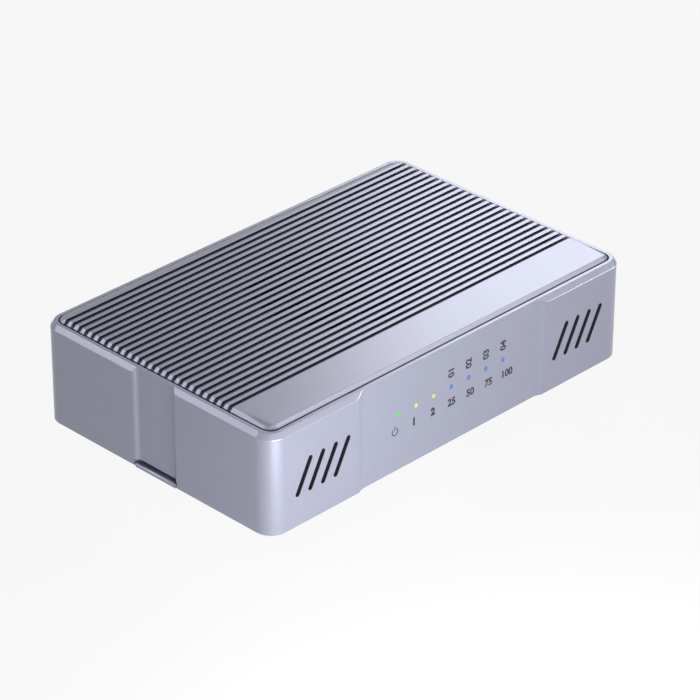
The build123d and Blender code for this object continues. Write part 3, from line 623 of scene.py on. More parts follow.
def shell_outline():
    """Points round the shell, outward normals and recess depth at each.

    Each side is a straight run at a fixed offset; each corner is the arc
    centre + radius (cos a, sin a) over 90 degrees.
    """
    half = BODY_HIGH[:2]
    flat = half - SHELL_CORNER
    length = 2 * half[0]
    recesses = [
        (length - 2 * FRONT_BLOCK, LONG_BLEND, LONG_STEPS),
        (FINGER_W, FINGER_BLEND, FINGER_STEPS),
        (length - 2 * REAR_BLOCK, LONG_BLEND, LONG_STEPS),
        (FINGER_W, FINGER_BLEND, FINGER_STEPS),
    ]
    points, normals, depths = [], [], []
    for number, (width, blend, steps) in enumerate(recesses):
        angle = math.radians(90 * number - 90)
        outward = np.array([math.cos(angle), math.sin(angle)])
        along = np.array([-outward[1], outward[0]])
        run, reach = (flat[0], half[1]) if number % 2 == 0 else (flat[1], half[0])
        u = side_stations(run, width, blend, steps)
        points.append(u[:, None] * along + reach * outward)
        normals.append(np.broadcast_to(outward, (len(u), 2)))
        depths.append(swept_step(width / 2 - np.abs(u), blend, RECESS))
        turn = angle + np.linspace(0, np.pi / 2, CORNER_STEPS)[1:-1]
        ray = np.stack([np.cos(turn), np.sin(turn)], axis=1)
        centre = run * along + (reach - SHELL_CORNER) * outward
        points.append(centre + SHELL_CORNER * ray)
        normals.append(ray)
        depths.append(np.zeros(len(turn)))
    return np.concatenate(points), np.concatenate(normals), np.concatenate(depths)


def shell_surface(ease):
    """The frame's whole skin: each point is outline - normal * inset, at the profile's height.

    On the outer side the inset is the softened maximum of the profile's inset and the
    recess depth, (a + b + sqrt((a - b)^2 + SHELL_SOFT^2)) / 2, so the recess cuts the chamfer.
    """
    low, high = BODY_LOW[2], BODY_HIGH[2]
    ledge = high - COVER_SKIRT
    bevel = np.linspace(0, 1, 7)[:, None]
    chamfer = np.array([0, high - EDGE_DOWN]) + bevel * np.array([EDGE_IN, EDGE_DOWN])
    inside = [(RIM_W, high), (RIM_W, ledge), (FRAME_WALL, ledge), (FRAME_WALL, low)]
    under = [(LOWER_CHAMFER, low), (0, low + LOWER_CHAMFER)]
    profile = rounded_corners(np.concatenate([under, chamfer, inside]), ease)
    inset, height = profile.T
    points, normals, depths = shell_outline()
    gap = inset[:, None] - depths[None, :]
    outer = (inset[:, None] + depths[None, :] + np.sqrt(gap**2 + SHELL_SOFT**2)) / 2
    is_outer = inset < (EDGE_IN + RIM_W) / 2
    shift = np.where(is_outer[:, None], outer, inset[:, None])
    place = points[None] - normals[None] * shift[..., None]
    tall = np.broadcast_to(height[:, None, None], (*shift.shape, 1))
    surface = np.concatenate([place, tall], axis=-1)
    rows, columns = surface.shape[:2]
    faces = grid_quads(rows, columns, round_rows=True, round_columns=True)
    return surface.reshape(-1, 3), faces.tolist()


def wall_cutter(outline, centre_x, centre_z, face_y, ease):
    """A plug that cuts one hole through a front or rear wall.

    Its loops are the outline, grown by ease where it meets the face, so the hole gets a bevel.
    """
    outward = math.copysign(1, face_y)
    unit = outline / np.linalg.norm(outline, axis=1, keepdims=True)
    stations = [(-FRAME_WALL - CUT_PAST, 0), (-ease, 0), (0.02, ease), (CUT_PAST, ease)]
    loops = []
    for out, grown in stations:
        flat = outline + grown * unit
        y = np.full(len(flat), face_y + outward * out)
        loops.append(np.stack([centre_x + flat[:, 0], y, centre_z + flat[:, 1]], axis=1))
    points, faces = skin(loops if outward > 0 else loops[::-1])
    return points, [face[::-1] for face in faces]


def middle_and_size(name):
    """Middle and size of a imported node's box, in millimetres."""
    low, high = in_mm(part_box(name))
    return (low + high) / 2, high - low


def shell_cutters(ease):
    """All the holes of the shell: slanted slots, light holes, rear openings, the tongue's slit."""
    low = BODY_LOW[2]
    half_l = BODY_HIGH[0]
    louver = stadium(LOUVER_LEN, LOUVER_W, LOUVER_LEAN)
    rank = LOUVER_PITCH * (np.arange(LOUVER_COUNT) - (LOUVER_COUNT - 1) / 2)
    places = [side * (half_l - LOUVER_END_GAP) + shift for side in (-1, 1) for shift in rank]
    parts = [wall_cutter(louver, x, low + LOUVER_UP, -BODY_HIGH[1], ease) for x in places]
    hole = stadium(LIGHT_HOLE, LIGHT_HOLE)
    parts += [wall_cutter(hole, x, z, PANEL_Y, LIGHT_HOLE_EASE) for x, z in light_places()]
    openings = []
    for name in ("power_button", "mode_button", "set_button"):
        middle, size = middle_and_size(name)
        wide = size[0] - BUTTON_FLANGE
        openings.append((stadium(wide, wide, steps=20), middle))
    middle, size = middle_and_size("usb_c_shell")
    openings.append((stadium(size[0] + PORT_PLAY, size[2] + PORT_PLAY), middle))
    middle, size = middle_and_size("dc_jack_pin")
    openings.append((stadium(JACK_HOLE, JACK_HOLE, steps=24), middle))
    for outline, (x, _, z) in openings:
        parts.append(wall_cutter(outline, x, z, -PANEL_Y, ease))
    parts.append(blocks([(-half_l, 0, low)], (2 * FRAME_WALL, SLIT_W, 2 * SLIT_H)))
    return join(parts)


def light_places():
    """Centres (x, z) of the light pipes in the front wall."""
    low, high = in_mm(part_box("led_chips"))
    stations = np.linspace(low[0] + LIGHT_END, high[0] - LIGHT_END, LIGHT_COUNT)
    return [(x, (low[2] + high[2]) / 2) for x in stations]


def corner_post(x, y, foot, top):
    """A corner post: a rounded square column with a round magnet pocket in its top.

    Its outline is |x|^n + |y|^n = 1, scaled to the post's half width, with n = POST_POWER.
    """
    angle = np.linspace(0, 2 * np.pi, 64, endpoint=False)
    circle = np.stack([np.cos(angle), np.sin(angle)], axis=1)
    reach = (np.abs(circle) ** POST_POWER).sum(axis=1) ** (-1 / POST_POWER)
    square = reach[:, None] * circle * POST / 2
    stations = [
        (square, foot),
        (square, top - POST_EASE),
        (square * POST_TAPER, top),
        (circle * POCKET_R, top),
        (circle * POCKET_R, top - POCKET_DEEP),
    ]
    loops = [np.column_stack([flat + (x, y), np.full(len(flat), z)]) for flat, z in stations]
    return skin(loops)


def slot_faces(middle, normal):
    """True for the inner faces of the slanted slots, across the front wall's thickness."""
    half_l, half_w = BODY_HIGH[:2]
    above = np.abs(middle[:, 2] - BODY_LOW[2] - LOUVER_UP)
    beside = np.abs(np.abs(middle[:, 0]) - (half_l - LOUVER_END_GAP))
    in_wall = (middle[:, 1] > SLOT_SKIN - half_w) & (middle[:, 1] < FRAME_WALL - half_w)
    in_block = (beside < 2.5 * LOUVER_PITCH) & (above < LOUVER_LEN / 2 + CUT_PAST)
    return in_wall & in_block & (np.abs(normal[:, 1]) < 0.1)


def cut_out(piece, cutters, material):
    """Subtracts the cutters from the piece's mesh, and takes the result as its mesh."""
    tool = add_object("cutters", new_mesh("cutters", *cutters))
    boolean = piece.modifiers.new("cut", "BOOLEAN")
    boolean.operation = "DIFFERENCE"
    boolean.solver = "EXACT"
    boolean.object = tool
    graph = bpy.context.evaluated_depsgraph_get()
    result = bpy.data.meshes.new_from_object(piece.evaluated_get(graph))
    piece.modifiers.remove(boolean)
    piece.data = result
    bpy.data.objects.remove(tool)
    shade(result, material)


class ENCLOSURE_OT_shell(bpy.types.Operator):
    """Builds the aluminium shell with its recesses, slots and ports"""

    bl_idname = "enclosure.shell"
    bl_label = "Shell"

    def execute(self, context):
        sizes = context.scene.enclosure_sizes
        aluminium = blasted_aluminium()
        surface = shell_surface(sizes.edge_ease / MM)
        shell = make_piece("aluminium_shell", *surface, aluminium, "enclosure")
        cut_out(shell, shell_cutters(sizes.hole_ease / MM), aluminium)
        # Painted shade: the inner walls of the slots are coloured nearly black to stand in for the
        # shade inside the wall; matt
        painted_slot_shade = finish("dyed_slot_walls", "#15161b", 0.65, grain_mm=0.2, relief_mm=0.004)
        middles, normals = face_vectors(shell, "center") / MM, face_vectors(shell, "normal")
        paint_faces(shell, painted_slot_shade, slot_faces(middles, normals))
        keep_flats_flat(shell)
        foot = BODY_LOW[2] + PLATE_T
        top = BODY_HIGH[2] - COVER_SKIRT + COVER_GAP - MAGNET_AIR
        half = BODY_HIGH[:2] - FRAME_WALL - POST_INSET
        corners = [(x, y) for x in (-half[0], half[0]) for y in (-half[1], half[1])]
        posts = join([corner_post(x, y, foot, top) for x, y in corners])
        columns = make_piece("shell_posts", *posts, aluminium, "enclosure")
        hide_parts("body_frame")
        return {"FINISHED"}


# Cover


GROOVE_PITCH = 2.4
GROOVE_W = 1.15
GROOVE_DEEP = 0.62
GROOVE_ROUND = 0.3
GROOVES_FRONT = 10
GROOVES_BACK = 14
COVER_CHAMFER = 0.85
COVER_CORNER = 2.6
VENT_Y = 0.35
VENT_R = 21.5
VENT_W = 1.0
BRIDGE_IN = 5.45
BRIDGE_OUT = 7.65
VENT_MIN = 3.0
COVER_SOFT = 0.05
COVER_SHARP_ANGLE = 35
EDGE_STEPS = 12
# Grid lines of the cover: beyond the vent, in from each end, and in its front and back bands
WIDE_LINES = [30, 45]
END_LINE = 3.2
FRONT_SHARES, FRONT_CLOSE = [0.05, 0.3, 0.6], 0.93
BACK_SHARES, BACK_CLOSE = [0.25, 0.6, 0.85], 0.92


def groove_section(ease):
    """Half of a groove's section: offsets from its middle and depths, from floor to rib.

    The lower corner is an arc of GROOVE_ROUND, and the rib's edge one of the given ease.
    One of the arc's points lies at the vent slots' half width.
    """
    at_slot = math.degrees(math.acos(1 - (GROOVE_W - VENT_W) / 2 / GROOVE_ROUND))
    low = np.radians([90, 66, at_slot, 20, 0])
    high = np.radians([90, 60, 30, 0])
    floor_side = GROOVE_W / 2 - GROOVE_ROUND * (1 - np.cos(low))
    rib_side = GROOVE_W / 2 + ease * (1 - np.sin(high))
    floor_deep = GROOVE_DEEP - GROOVE_ROUND * (1 - np.sin(low))
    rib_deep = ease * (1 - np.cos(high))
    return np.concatenate([floor_side, rib_side]), np.concatenate([floor_deep, rib_deep])


def vent_rows():
    """Height of each vent row above the vent's middle and its reach sqrt(R^2 - y^2)."""
    last = int(VENT_R / (2 * GROOVE_PITCH))
    rows = 2 * GROOVE_PITCH * np.arange(-last, last + 1)
    return rows, np.sqrt(VENT_R**2 - rows**2)


def cover_lines(half_l, ease):
    """Grid lines of the cover: x stations, y stations with their depths, and edge shares.

    A y station in the front or back band is given by its share 0 to 1 of the way from the
    band's start to the edge, so that it bends round the corners with the outline.
    """
    reach = vent_rows()[1]
    turn = np.linspace(0, np.pi / 2, EDGE_STEPS)
    corner = half_l - COVER_CORNER + COVER_CORNER * np.sin(turn)
    stops = [[BRIDGE_IN, BRIDGE_OUT], reach, WIDE_LINES, [half_l - END_LINE], corner]
    right = np.unique(np.concatenate(stops).round(4))
    x = np.concatenate([-right[::-1], [0], right])
    offset, deep = groove_section(ease)
    middle = VENT_Y + GROOVE_PITCH * np.arange(-GROOVES_FRONT, GROOVES_BACK + 1)
    y = np.concatenate([-offset[:0:-1], offset])[None] + middle[:, None]
    depth = np.broadcast_to(np.concatenate([deep[:0:-1], deep]), y.shape)
    front = np.concatenate([FRONT_SHARES, np.linspace(FRONT_CLOSE, 1, EDGE_STEPS)])
    back = np.concatenate([BACK_SHARES, np.linspace(BACK_CLOSE, 1, EDGE_STEPS)])
    return x, y.reshape(-1), depth.reshape(-1), front, back


def cover_surface(ease):
    """Points of the cover's upper side as (rows along x, columns along y, 3).

    Height is top - max(groove depth, chamfer drop), softened over COVER_SOFT; the chamfer
    drop is COVER_CHAMFER - distance to the rounded outline, where that is above zero.
    """
    half_l, half_w = COVER_HIGH[:2]
    x, y, depth, front, back = cover_lines(half_l, ease)
    past = np.maximum(np.abs(x) - (half_l - COVER_CORNER), 0)
    edge = half_w - COVER_CORNER + np.sqrt(np.maximum(COVER_CORNER**2 - past**2, 0))
    start, end = y[0] - 0.05, y[-1] + 0.02
    front_y = start - (edge[:, None] + start) * front[None, ::-1]
    back_y = end + (edge[:, None] - end) * back[None]
    middle_y = np.broadcast_to(y, (len(x), len(y)))
    plane_y = np.concatenate([front_y, middle_y, back_y], axis=1)
    plane_x = np.broadcast_to(x[:, None], plane_y.shape)
    deep = np.concatenate([np.zeros(len(front)), depth, np.zeros(len(back))])[None]
    corner_x = np.abs(plane_x) - (half_l - COVER_CORNER)
    corner_y = np.abs(plane_y) - (half_w - COVER_CORNER)
    outside = np.hypot(np.maximum(corner_x, 0), np.maximum(corner_y, 0))
    inward = COVER_CORNER - outside - np.minimum(np.maximum(corner_x, corner_y), 0)
    rise = COVER_CHAMFER - inward
    drop = (rise + np.sqrt(rise**2 + COVER_SOFT**2)) / 2
    total = deep + drop
    low = (total + np.sqrt((deep - drop) ** 2 + COVER_SOFT**2)) / 2
    height = COVER_HIGH[2] - np.where(total < COVER_SOFT, drop, np.minimum(low, total))
    return np.stack([plane_x, plane_y, height], axis=-1)


def vent_cells(surface):
    """True for each grid cell that is open: it lies in a vent row's slot and inside the circle."""
    x = (surface[:-1, :, 0] + surface[1:, :, 0])[:, :-1] / 2
    y = (surface[:, :-1, 1] + surface[:, 1:, 1])[:-1] / 2 - VENT_Y
    rows, reach = vent_rows()
    nearest = np.abs(y[..., None] - rows).argmin(axis=-1)
    in_slot = np.abs(y - rows[nearest]) < VENT_W / 2
    reach = reach[nearest]
    middle = np.abs(x) < np.minimum(BRIDGE_IN, reach)
    side = (np.abs(x) > BRIDGE_OUT) & (np.abs(x) < reach) & (reach - BRIDGE_OUT > VENT_MIN)
    return in_slot & (middle | side)


def plate_with_holes(surface, floor, is_open):
    """Points and faces of a plate: its upper grid, the same grid at floor height, and a wall
    wherever a solid cell meets an open one or the outside."""
    rows, columns = surface.shape[:2]
    lower = surface.copy()
    lower[..., 2] = floor
    points = np.concatenate([surface.reshape(-1, 3), lower.reshape(-1, 3)])
    shift = rows * columns
    solid = ~is_open
    quads = grid_quads(rows, columns).reshape(rows - 1, columns - 1, 4)
    upper = quads[solid]
    faces = [upper, upper[:, ::-1] + shift]
    padded = np.pad(solid, 1)
    inner = padded[1:-1, 1:-1]
    neighbours = [
        (padded[1:-1, :-2], (0, 3)),
        (padded[2:, 1:-1], (3, 2)),
        (padded[1:-1, 2:], (2, 1)),
        (padded[:-2, 1:-1], (1, 0)),
    ]
    for beside, (first, second) in neighbours:
        edge = quads[inner & ~beside]
        a, b = edge[:, first], edge[:, second]
        faces.append(np.stack([a, b, b + shift, a + shift], axis=1))
    return points, np.concatenate(faces)


def channel_faces(middle):
    """True for faces between two ribs: within half a groove's width of a groove's middle."""
    y = middle[:, 1] - VENT_Y
    number = np.round(y / GROOVE_PITCH)
    beside = np.abs(y - number * GROOVE_PITCH)
    in_range = (number >= -GROOVES_FRONT) & (number <= GROOVES_BACK)
    above = middle[:, 2] > COVER_LOW[2] + 0.01
    return in_range & above & (beside < GROOVE_W / 2 + 0.01)


class ENCLOSURE_OT_cover(bpy.types.Operator):
    """Builds the grooved cover with its round fan vent"""

    bl_idname = "enclosure.cover"
    bl_label = "Cover"

    def execute(self, context):
        surface = cover_surface(context.scene.enclosure_sizes.groove_ease / MM)
        points, faces = plate_with_holes(surface, COVER_LOW[2], vent_cells(surface))
        used, number = np.unique(faces, return_inverse=True)
        plate = points[used], number.reshape(faces.shape).tolist()
        aluminium = blasted_aluminium()
        cover = make_piece("grooved_cover", *plate, aluminium, "cover", COVER_SHARP_ANGLE)
        # Painted shade: the channels between the blasted ribs are coloured nearly black to stand
        # in for the shade in the grooves; satin
        channel_shade_colour = tuple(context.scene.enclosure_colours.channels)
        channel = finish("dyed_channels", channel_shade_colour, 0.45, 0.6, grain_mm=0.3, relief_mm=0.004)
        paint_faces(cover, channel, channel_faces(face_vectors(cover, "center") / MM))
        keep_flats_flat(cover)
        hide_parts("top_cover")
        return {"FINISHED"}


# Fan


HUB_R = 9.0
HUB_WALL = 0.8
HUB_ROOF = 1.0
SHAFT_BORE = 0.3
BLADE_ROOT = 0.6
BLADE_REACH = 20.8
BLADE_CHORD = 8.4
BLADE_SPREAD = 3.4
BLADE_T = 0.9
BLADE_CAMBER = 0.09
BLADE_TILT = 42
BLADE_TWIST = 15
BLADE_AIR = 0.05


def blade_surface(count, low, high):
    """Twisted, cambered blades as thin shells.

    Across a blade s runs 0 to 1 from hub to tip, and t runs round its section. The section
    at radius r is an ellipse-like loop, chord c(s) long and BLADE_T thick, bent by a camber
    of BLADE_CAMBER c sin(pi u), tilted by an angle that falls from BLADE_TILT by BLADE_TWIST
    degrees, and wrapped on the circle of radius r.
    """
    s = np.linspace(0, 1, 14)[:, None]
    t = np.linspace(0, 2 * np.pi, 28, endpoint=False)[None]
    radius = HUB_R - BLADE_ROOT + (BLADE_REACH - HUB_R + BLADE_ROOT) * s
    chord = BLADE_CHORD + BLADE_SPREAD * s**0.8
    tilt = np.radians(BLADE_TILT - BLADE_TWIST * s)
    u = (1 - np.cos(t)) / 2
    along = (u - 0.5) * chord
    thick = BLADE_T / 2 * np.sin(t) * (1.25 - 0.7 * u) + BLADE_CAMBER * chord * np.sin(np.pi * u)
    around = along * np.cos(tilt) - thick * np.sin(tilt)
    rise = along * np.sin(tilt) + thick * np.cos(tilt)
    height = np.clip((low + high) / 2 + rise, low, high)
    parts = []
    for turn in np.linspace(0, 2 * np.pi, count, endpoint=False):
        angle = turn + around / radius
        x, y = radius * np.cos(angle), VENT_Y + radius * np.sin(angle)
        parts.append(skin(np.stack([x, y, height], axis=-1)))
    return parts


class ENCLOSURE_OT_fan(bpy.types.Operator):
    """Builds the fan's rotor with its twisted blades"""

    bl_idname = "enclosure.fan"
    bl_label = "Fan rotor"

    def execute(self, context):
        low, high = (corner[2] for corner in in_mm(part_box("fan_rotor")))
        hub = [
            (HUB_R - HUB_WALL, low),
            (HUB_R, low),
            (HUB_R, high - 0.7),
            (HUB_R - 0.25, high - 0.2),
            (HUB_R - 0.7, high),
            (SHAFT_BORE, high - 0.05),
            (SHAFT_BORE, high - HUB_ROOF),
            (HUB_R - HUB_WALL, high - HUB_ROOF),
            (HUB_R - HUB_WALL, low + 0.01),
        ]
        count = context.scene.enclosure_sizes.blade_count
        blades = blade_surface(count, low + BLADE_AIR, high - BLADE_AIR)
        parts = join([turned(hub, (0, VENT_Y), steps=64), *blades])
        pbt = bpy.data.materials["moulded_pbt"]
        rotor = make_piece("fan_blades_and_hub", *parts, pbt, "fan")
        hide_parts("fan_rotor")
        return {"FINISHED"}


# Feet, lights and marks


FOOT_R = 6.0
FOOT_ROUND = 0.8
FOOT_EDGE = 0.2
# Radius and height of a shallow dish in the underside, which leaves a ring to grip the desk
FOOT_DISH = [(0.2, 0.5), (3.6, 0.5), (4.2, 0.05), (4.6, 0)]


class ENCLOSURE_OT_feet(bpy.types.Operator):
    """Builds the four moulded rubber feet"""

    bl_idname = "enclosure.feet"
    bl_label = "Feet"

    def execute(self, context):
        # Moulded silicone rubber: dark, matt, with a fine skin
        rubber = finish("moulded_rubber", "#1f2023", 0.72, grain_mm=0.3, relief_mm=0.015)
        low, high = in_mm(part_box("rubber_feet"))
        turn = np.radians([0, 22, 45, 68, 90])
        edge = FOOT_R - FOOT_ROUND + FOOT_ROUND * np.sin(turn)
        side = np.column_stack([edge, FOOT_ROUND - FOOT_ROUND * np.cos(turn)])
        top = [(FOOT_R, high[2] - FOOT_EDGE), (FOOT_R - FOOT_EDGE, high[2]), (0.2, high[2])]
        profile = np.concatenate([FOOT_DISH, side, top])
        centres = [
            (x, y)
            for x in (low[0] + FOOT_R, high[0] - FOOT_R)
            for y in (low[1] + FOOT_R, high[1] - FOOT_R)
        ]
        parts = join([turned(profile, centre, 56) for centre in centres])
        feet = make_piece("round_feet", *parts, rubber, "enclosure")
        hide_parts("rubber_feet")
        return {"FINISHED"}


class ENCLOSURE_OT_lights(bpy.types.Operator):
    """Finishes the light pipes: one green, two yellow and four blue"""

    bl_idname = "enclosure.lights"
    bl_label = "Status lights"

    def execute(self, context):
        colours = context.scene.enclosure_colours
        pipes = {
            "power_light_pipe": ("green_light_pipe", colours.green_light),
            "drive_light_pipes": ("yellow_light_pipes", colours.yellow_light),
            "mode_light_pipes": ("blue_light_pipes", colours.blue_light),
        }
        for node, (name, colour) in pipes.items():
            ease_cad_node(node, lit_polycarbonate(name, tuple(colour), colours.light_strength))
        return {"FINISHED"}


MARK_PITCH = 6.63
MARK_MIDDLE = 0.2
MARK_DROP = 4.4
MARK_RISE = 2.7
MARK_BOLD = 0.055
BAY_BOLD = 0.09
FIGURE_SHARE = 0.7
GLYPH_R = 0.95
GLYPH_STROKE = 0.28
GLYPH_START, GLYPH_END = 130, 410
INK = 0.02


def printed_mark(text, x, z, height, bold, upright, material):
    """A printed number on the front panel, reading across about (x, z) or upward from it.

    Its strokes are widened by bold times its height, and the font's figures are about
    FIGURE_SHARE of its size tall.
    """
    name = f"printed_{text}"
    curve = bpy.data.curves.new(name, "FONT")
    curve.body = text
    curve.size = height / FIGURE_SHARE * MM
    curve.offset = bold * height * MM
    curve.align_x = "LEFT" if upright else "CENTER"
    curve.align_y = "CENTER"
    curve.extrude = INK / 2 * MM
    curve.resolution_u = 4
    holder = add_object(name, curve)
    bpy.context.view_layer.update()
    mesh = bpy.data.meshes.new_from_object(holder)
    bpy.data.objects.remove(holder)
    turn = Matrix.Rotation(math.pi / 2 if upright else 0, 4, "Z")
    stand = Matrix.Rotation(math.pi / 2, 4, "X")
    place = Matrix.Translation((x * MM, (PANEL_Y - INK / 2) * MM, z * MM))
    mesh.transform(place @ stand @ turn)
    mesh.update()
    mesh.materials.clear()
    mesh.materials.append(material)
    piece = add_object(name, mesh)
    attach(piece, "enclosure")


def power_symbol(x, z):
    """The plain power symbol: an open ring and a stroke through its gap.

    The ring's section is carried along radius (cos a, sin a) from GLYPH_START to GLYPH_END.
    """
    angle = np.radians(np.linspace(GLYPH_START, GLYPH_END, 29))[:, None]
    half = GLYPH_STROKE / 2
    radius = GLYPH_R + np.array([-half, half, half, -half])
    out = np.broadcast_to(PANEL_Y - np.array([0, 0, INK, INK]), (len(angle), 4))
    loops = np.stack([x + radius * np.cos(angle), out, z + radius * np.sin(angle)], axis=-1)
    stroke = blocks([(x, PANEL_Y - INK / 2, z + GLYPH_R)], (GLYPH_STROKE, INK, 1.2 * GLYPH_R))
    return join([skin(loops), stroke])


class ENCLOSURE_OT_marks(bpy.types.Operator):
    """Prints plain numbers beside the lights"""

    bl_idname = "enclosure.marks"
    bl_label = "Printed numbers"

    def execute(self, context):
        height = context.scene.enclosure_sizes.mark_height / MM
        # Dark grey pad-printed ink: thin and matt
        colour = tuple(context.scene.enclosure_colours.print_ink)
        ink = finish("pad_printed_ink", colour, 0.6, grain_mm=0.2, relief_mm=0.002)
        lights = light_places()
        row_z = lights[0][1] - MARK_DROP
        spots = MARK_MIDDLE + MARK_PITCH * (np.arange(len(lights)) - (len(lights) - 1) / 2)
        symbol = make_piece("power_symbol", *power_symbol(spots[0], row_z), ink, "enclosure")
        for text, x in zip(("1", "2", "25", "50", "75", "100"), spots[1:]):
            bold = BAY_BOLD if len(text) == 1 else MARK_BOLD
            printed_mark(text, x, row_z, height, bold, False, ink)
        for text, (x, z) in zip(("01", "02", "03", "04"), lights[3:]):
            printed_mark(text, x, z + MARK_RISE, height, MARK_BOLD, True, ink)
        return {"FINISHED"}


# Inside


# Sizes along X, Y and Z
PART_SIZE = (1.0, 0.8, 0.6)
END_SIZE = (0.32, 0.84, 0.62)
END_OUT = 0.65
PIN_SIZE = (2.6, 0.25, 0.14)
STRIP_SIZE = (0.26, 2.4, 0.03)
CONTACT_PITCH = 0.5
CONTACT_IN = 1.6
# Height of the spring contacts over the board: card's underside, card and air
MOUTH_UP = 2.3 + 0.8 + 0.12


def small_part_centres():
    """Middles of the small soldered parts: a front row, a rear row and a short column."""
    front = [(x, -30.2) for x in np.arange(-36, 37, 4.0) if abs(x) > 12]
    rear = [(x, 26.6) for x in np.arange(-28, 12, 4.0)]
    column = [(31.5, y) for y in np.arange(-24, -17, 2.2)]
    height = BOARD_TOP + PART_SIZE[2] / 2
    return np.array([(x, y, height) for x, y in (*front, *rear, *column)])


def socket_contacts():
    """Middles of the spring contacts in the mouths of both drive sockets."""
    contacts = []
    for node in ("m2_socket_a", "m2_socket_b"):
        low, high = in_mm(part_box(node))
        row = (low[1] + high[1]) / 2 + np.arange(-19, 20) * CONTACT_PITCH
        contacts += [(high[0] - CONTACT_IN, y, BOARD_TOP + MOUTH_UP) for y in row]
    return contacts


def port_contacts():
    """Middles of the contact strips on both faces of the port's tongue."""
    low, high = in_mm(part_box("usb_c_tongue"))
    row = (low[0] + high[0]) / 2 + np.arange(-5.5, 6) * CONTACT_PITCH
    return [(x, high[1] - CONTACT_IN, face) for x in row for face in (low[2], high[2])]


class ENCLOSURE_OT_board(bpy.types.Operator):
    """Finishes the boards and adds small soldered parts and contacts"""

    bl_idname = "enclosure.board"
    bl_label = "Boards"

    def execute(self, context):
        mask = solder_mask()
        ease_cad_node("main_board", mask)
        ease_cad_node("led_board", mask)
        # Fired ceramic of small capacitors: tan, matt
        ceramic = finish("fired_ceramic", "#a58a63", 0.55, grain_mm=0.3, relief_mm=0.004)
        # Tinned ends: soft bright metal
        tinned = finish("tinned_ends", "#c4c6ca", 0.35, 1.0, grain_mm=0.2, relief_mm=0.004)
        # Gold flash on contacts: warm and bright
        gold = finish("gold_flash", "#d8b25a", 0.28, 1.0, grain_mm=0.3, relief_mm=0.002)
        centres = small_part_centres()
        ends = np.concatenate([centres + (side * END_OUT, 0, 0) for side in (-1, 1)])
        parts = make_piece("small_parts", *blocks(centres, PART_SIZE), ceramic, "enclosure")
        caps = make_piece("small_part_ends", *blocks(ends, END_SIZE), tinned, "enclosure")
        pin_boxes = blocks(socket_contacts(), PIN_SIZE)
        pins = make_piece("spring_contacts", *pin_boxes, gold, "enclosure")
        strip_boxes = blocks(port_contacts(), STRIP_SIZE)
        strips = make_piece("port_contacts", *strip_boxes, gold, "enclosure")
        return {"FINISHED"}


class ENCLOSURE_OT_finishes(bpy.types.Operator):
    """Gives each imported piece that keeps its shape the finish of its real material"""

    bl_idname = "enclosure.finishes"
    bl_label = "Finishes"

    def execute(self, context):
        make_cad_finishes()
        for finish_name, eases in CAD_NODES.items():
            for round_mm, nodes in eases.items():
                for node in nodes.split():
                    ease_cad_node(node, bpy.data.materials[finish_name], round_mm)
        return {"FINISHED"}


# Stage


# Lengths of the stage, in metres
FLOOR_REACH = 4.0
LOW_LAMP_Z = 0.018
FIBRE = 0.0015
FLOOR_WHITE = 0.9
SENSOR_MM = 36
WHITE = (1, 1, 1, 1)
# Size and place of each softbox. The low ones lie below the cover, so it doesn't mirror them
LAMPS = {
    "key": ((0.1, 0.03), (-0.09, -0.16, LOW_LAMP_Z)),
    "side": ((0.3, 0.03), (0.5, -0.4, LOW_LAMP_Z)),
    "edge": ((0.2, 0.2), (0.42, -0.35, 0.44)),
    "top": ((0.2, 0.2), (0.45, 0.3, 0.33)),
    "fill": ((0.25, 0.25), (-0.3, 0.37, 0.37)),
    "rim": ((0.2, 0.1), (-0.47, 0.4, 0.25)),
}


def area_lamp(name, watts, size, place, target):
    """A softbox of the given width and height at place, its -Z axis turned towards target."""
    data = bpy.data.lights.new(name, "AREA")
    data.shape = "RECTANGLE"
    data.energy = watts
    data.size, data.size_y = size
    lamp = add_object(name, data)
    turn = (Vector(target) - Vector(place)).to_track_quat("-Z", "Y")
    lamp.matrix_world = Matrix.LocRotScale(Vector(place), turn, None)
    lamp.visible_camera = False


def add_camera(studio):
    """The camera, which faces the aim from its azimuth and elevation, with its shift and roll."""
    data = bpy.data.cameras.new("camera")
    data.lens = studio.lens
    data.sensor_width = SENSOR_MM
    camera = add_object("camera", data)
    aim = Matrix.Translation((0, 0, studio.aim_height))
    turn = Matrix.Rotation(studio.azimuth, 4, "Z")
    lean = Matrix.Rotation(math.pi / 2 - studio.elevation, 4, "X")
    away = Matrix.Translation((studio.shift_right, studio.shift_up, studio.distance))
    roll = Matrix.Rotation(studio.roll, 4, "Z")
    camera.matrix_world = aim @ turn @ lean @ away @ roll
    bpy.context.scene.camera = camera


def pale_floor():
    """Matt pale paper of FIBRE fibres, shown as white by a share FLOOR_WHITE of its light.

    The rest of its light is the lamps', so it keeps the object's shadow.
    """
    material = bpy.data.materials.new("pale_paper")
    add = emptied(material)
    place = add("ShaderNodeTexCoord").outputs["Object"]
    fibre = add("ShaderNodeTexNoise", {"Vector": place, "Scale": 1 / FIBRE}).outputs["Fac"]
    tones = {"Factor": fibre, 6: linear("#f4f4f6"), 7: linear("#f7f7f8")}
    tone = add("ShaderNodeMix", tones, data_type="RGBA").outputs[2]
    paper = add("ShaderNodeBsdfDiffuse", {"Color": tone}).outputs["BSDF"]
    white = add("ShaderNodeEmission", {"Color": WHITE, "Strength": 1.0}).outputs["Emission"]
    share = add("ShaderNodeMath", {0: seen_rays(add), 1: FLOOR_WHITE}, operation="MULTIPLY")
    mixed = add("ShaderNodeMixShader", {0: share.outputs[0], 1: paper, 2: white})
    add("ShaderNodeOutputMaterial", {"Surface": mixed.outputs["Shader"]})
    return material


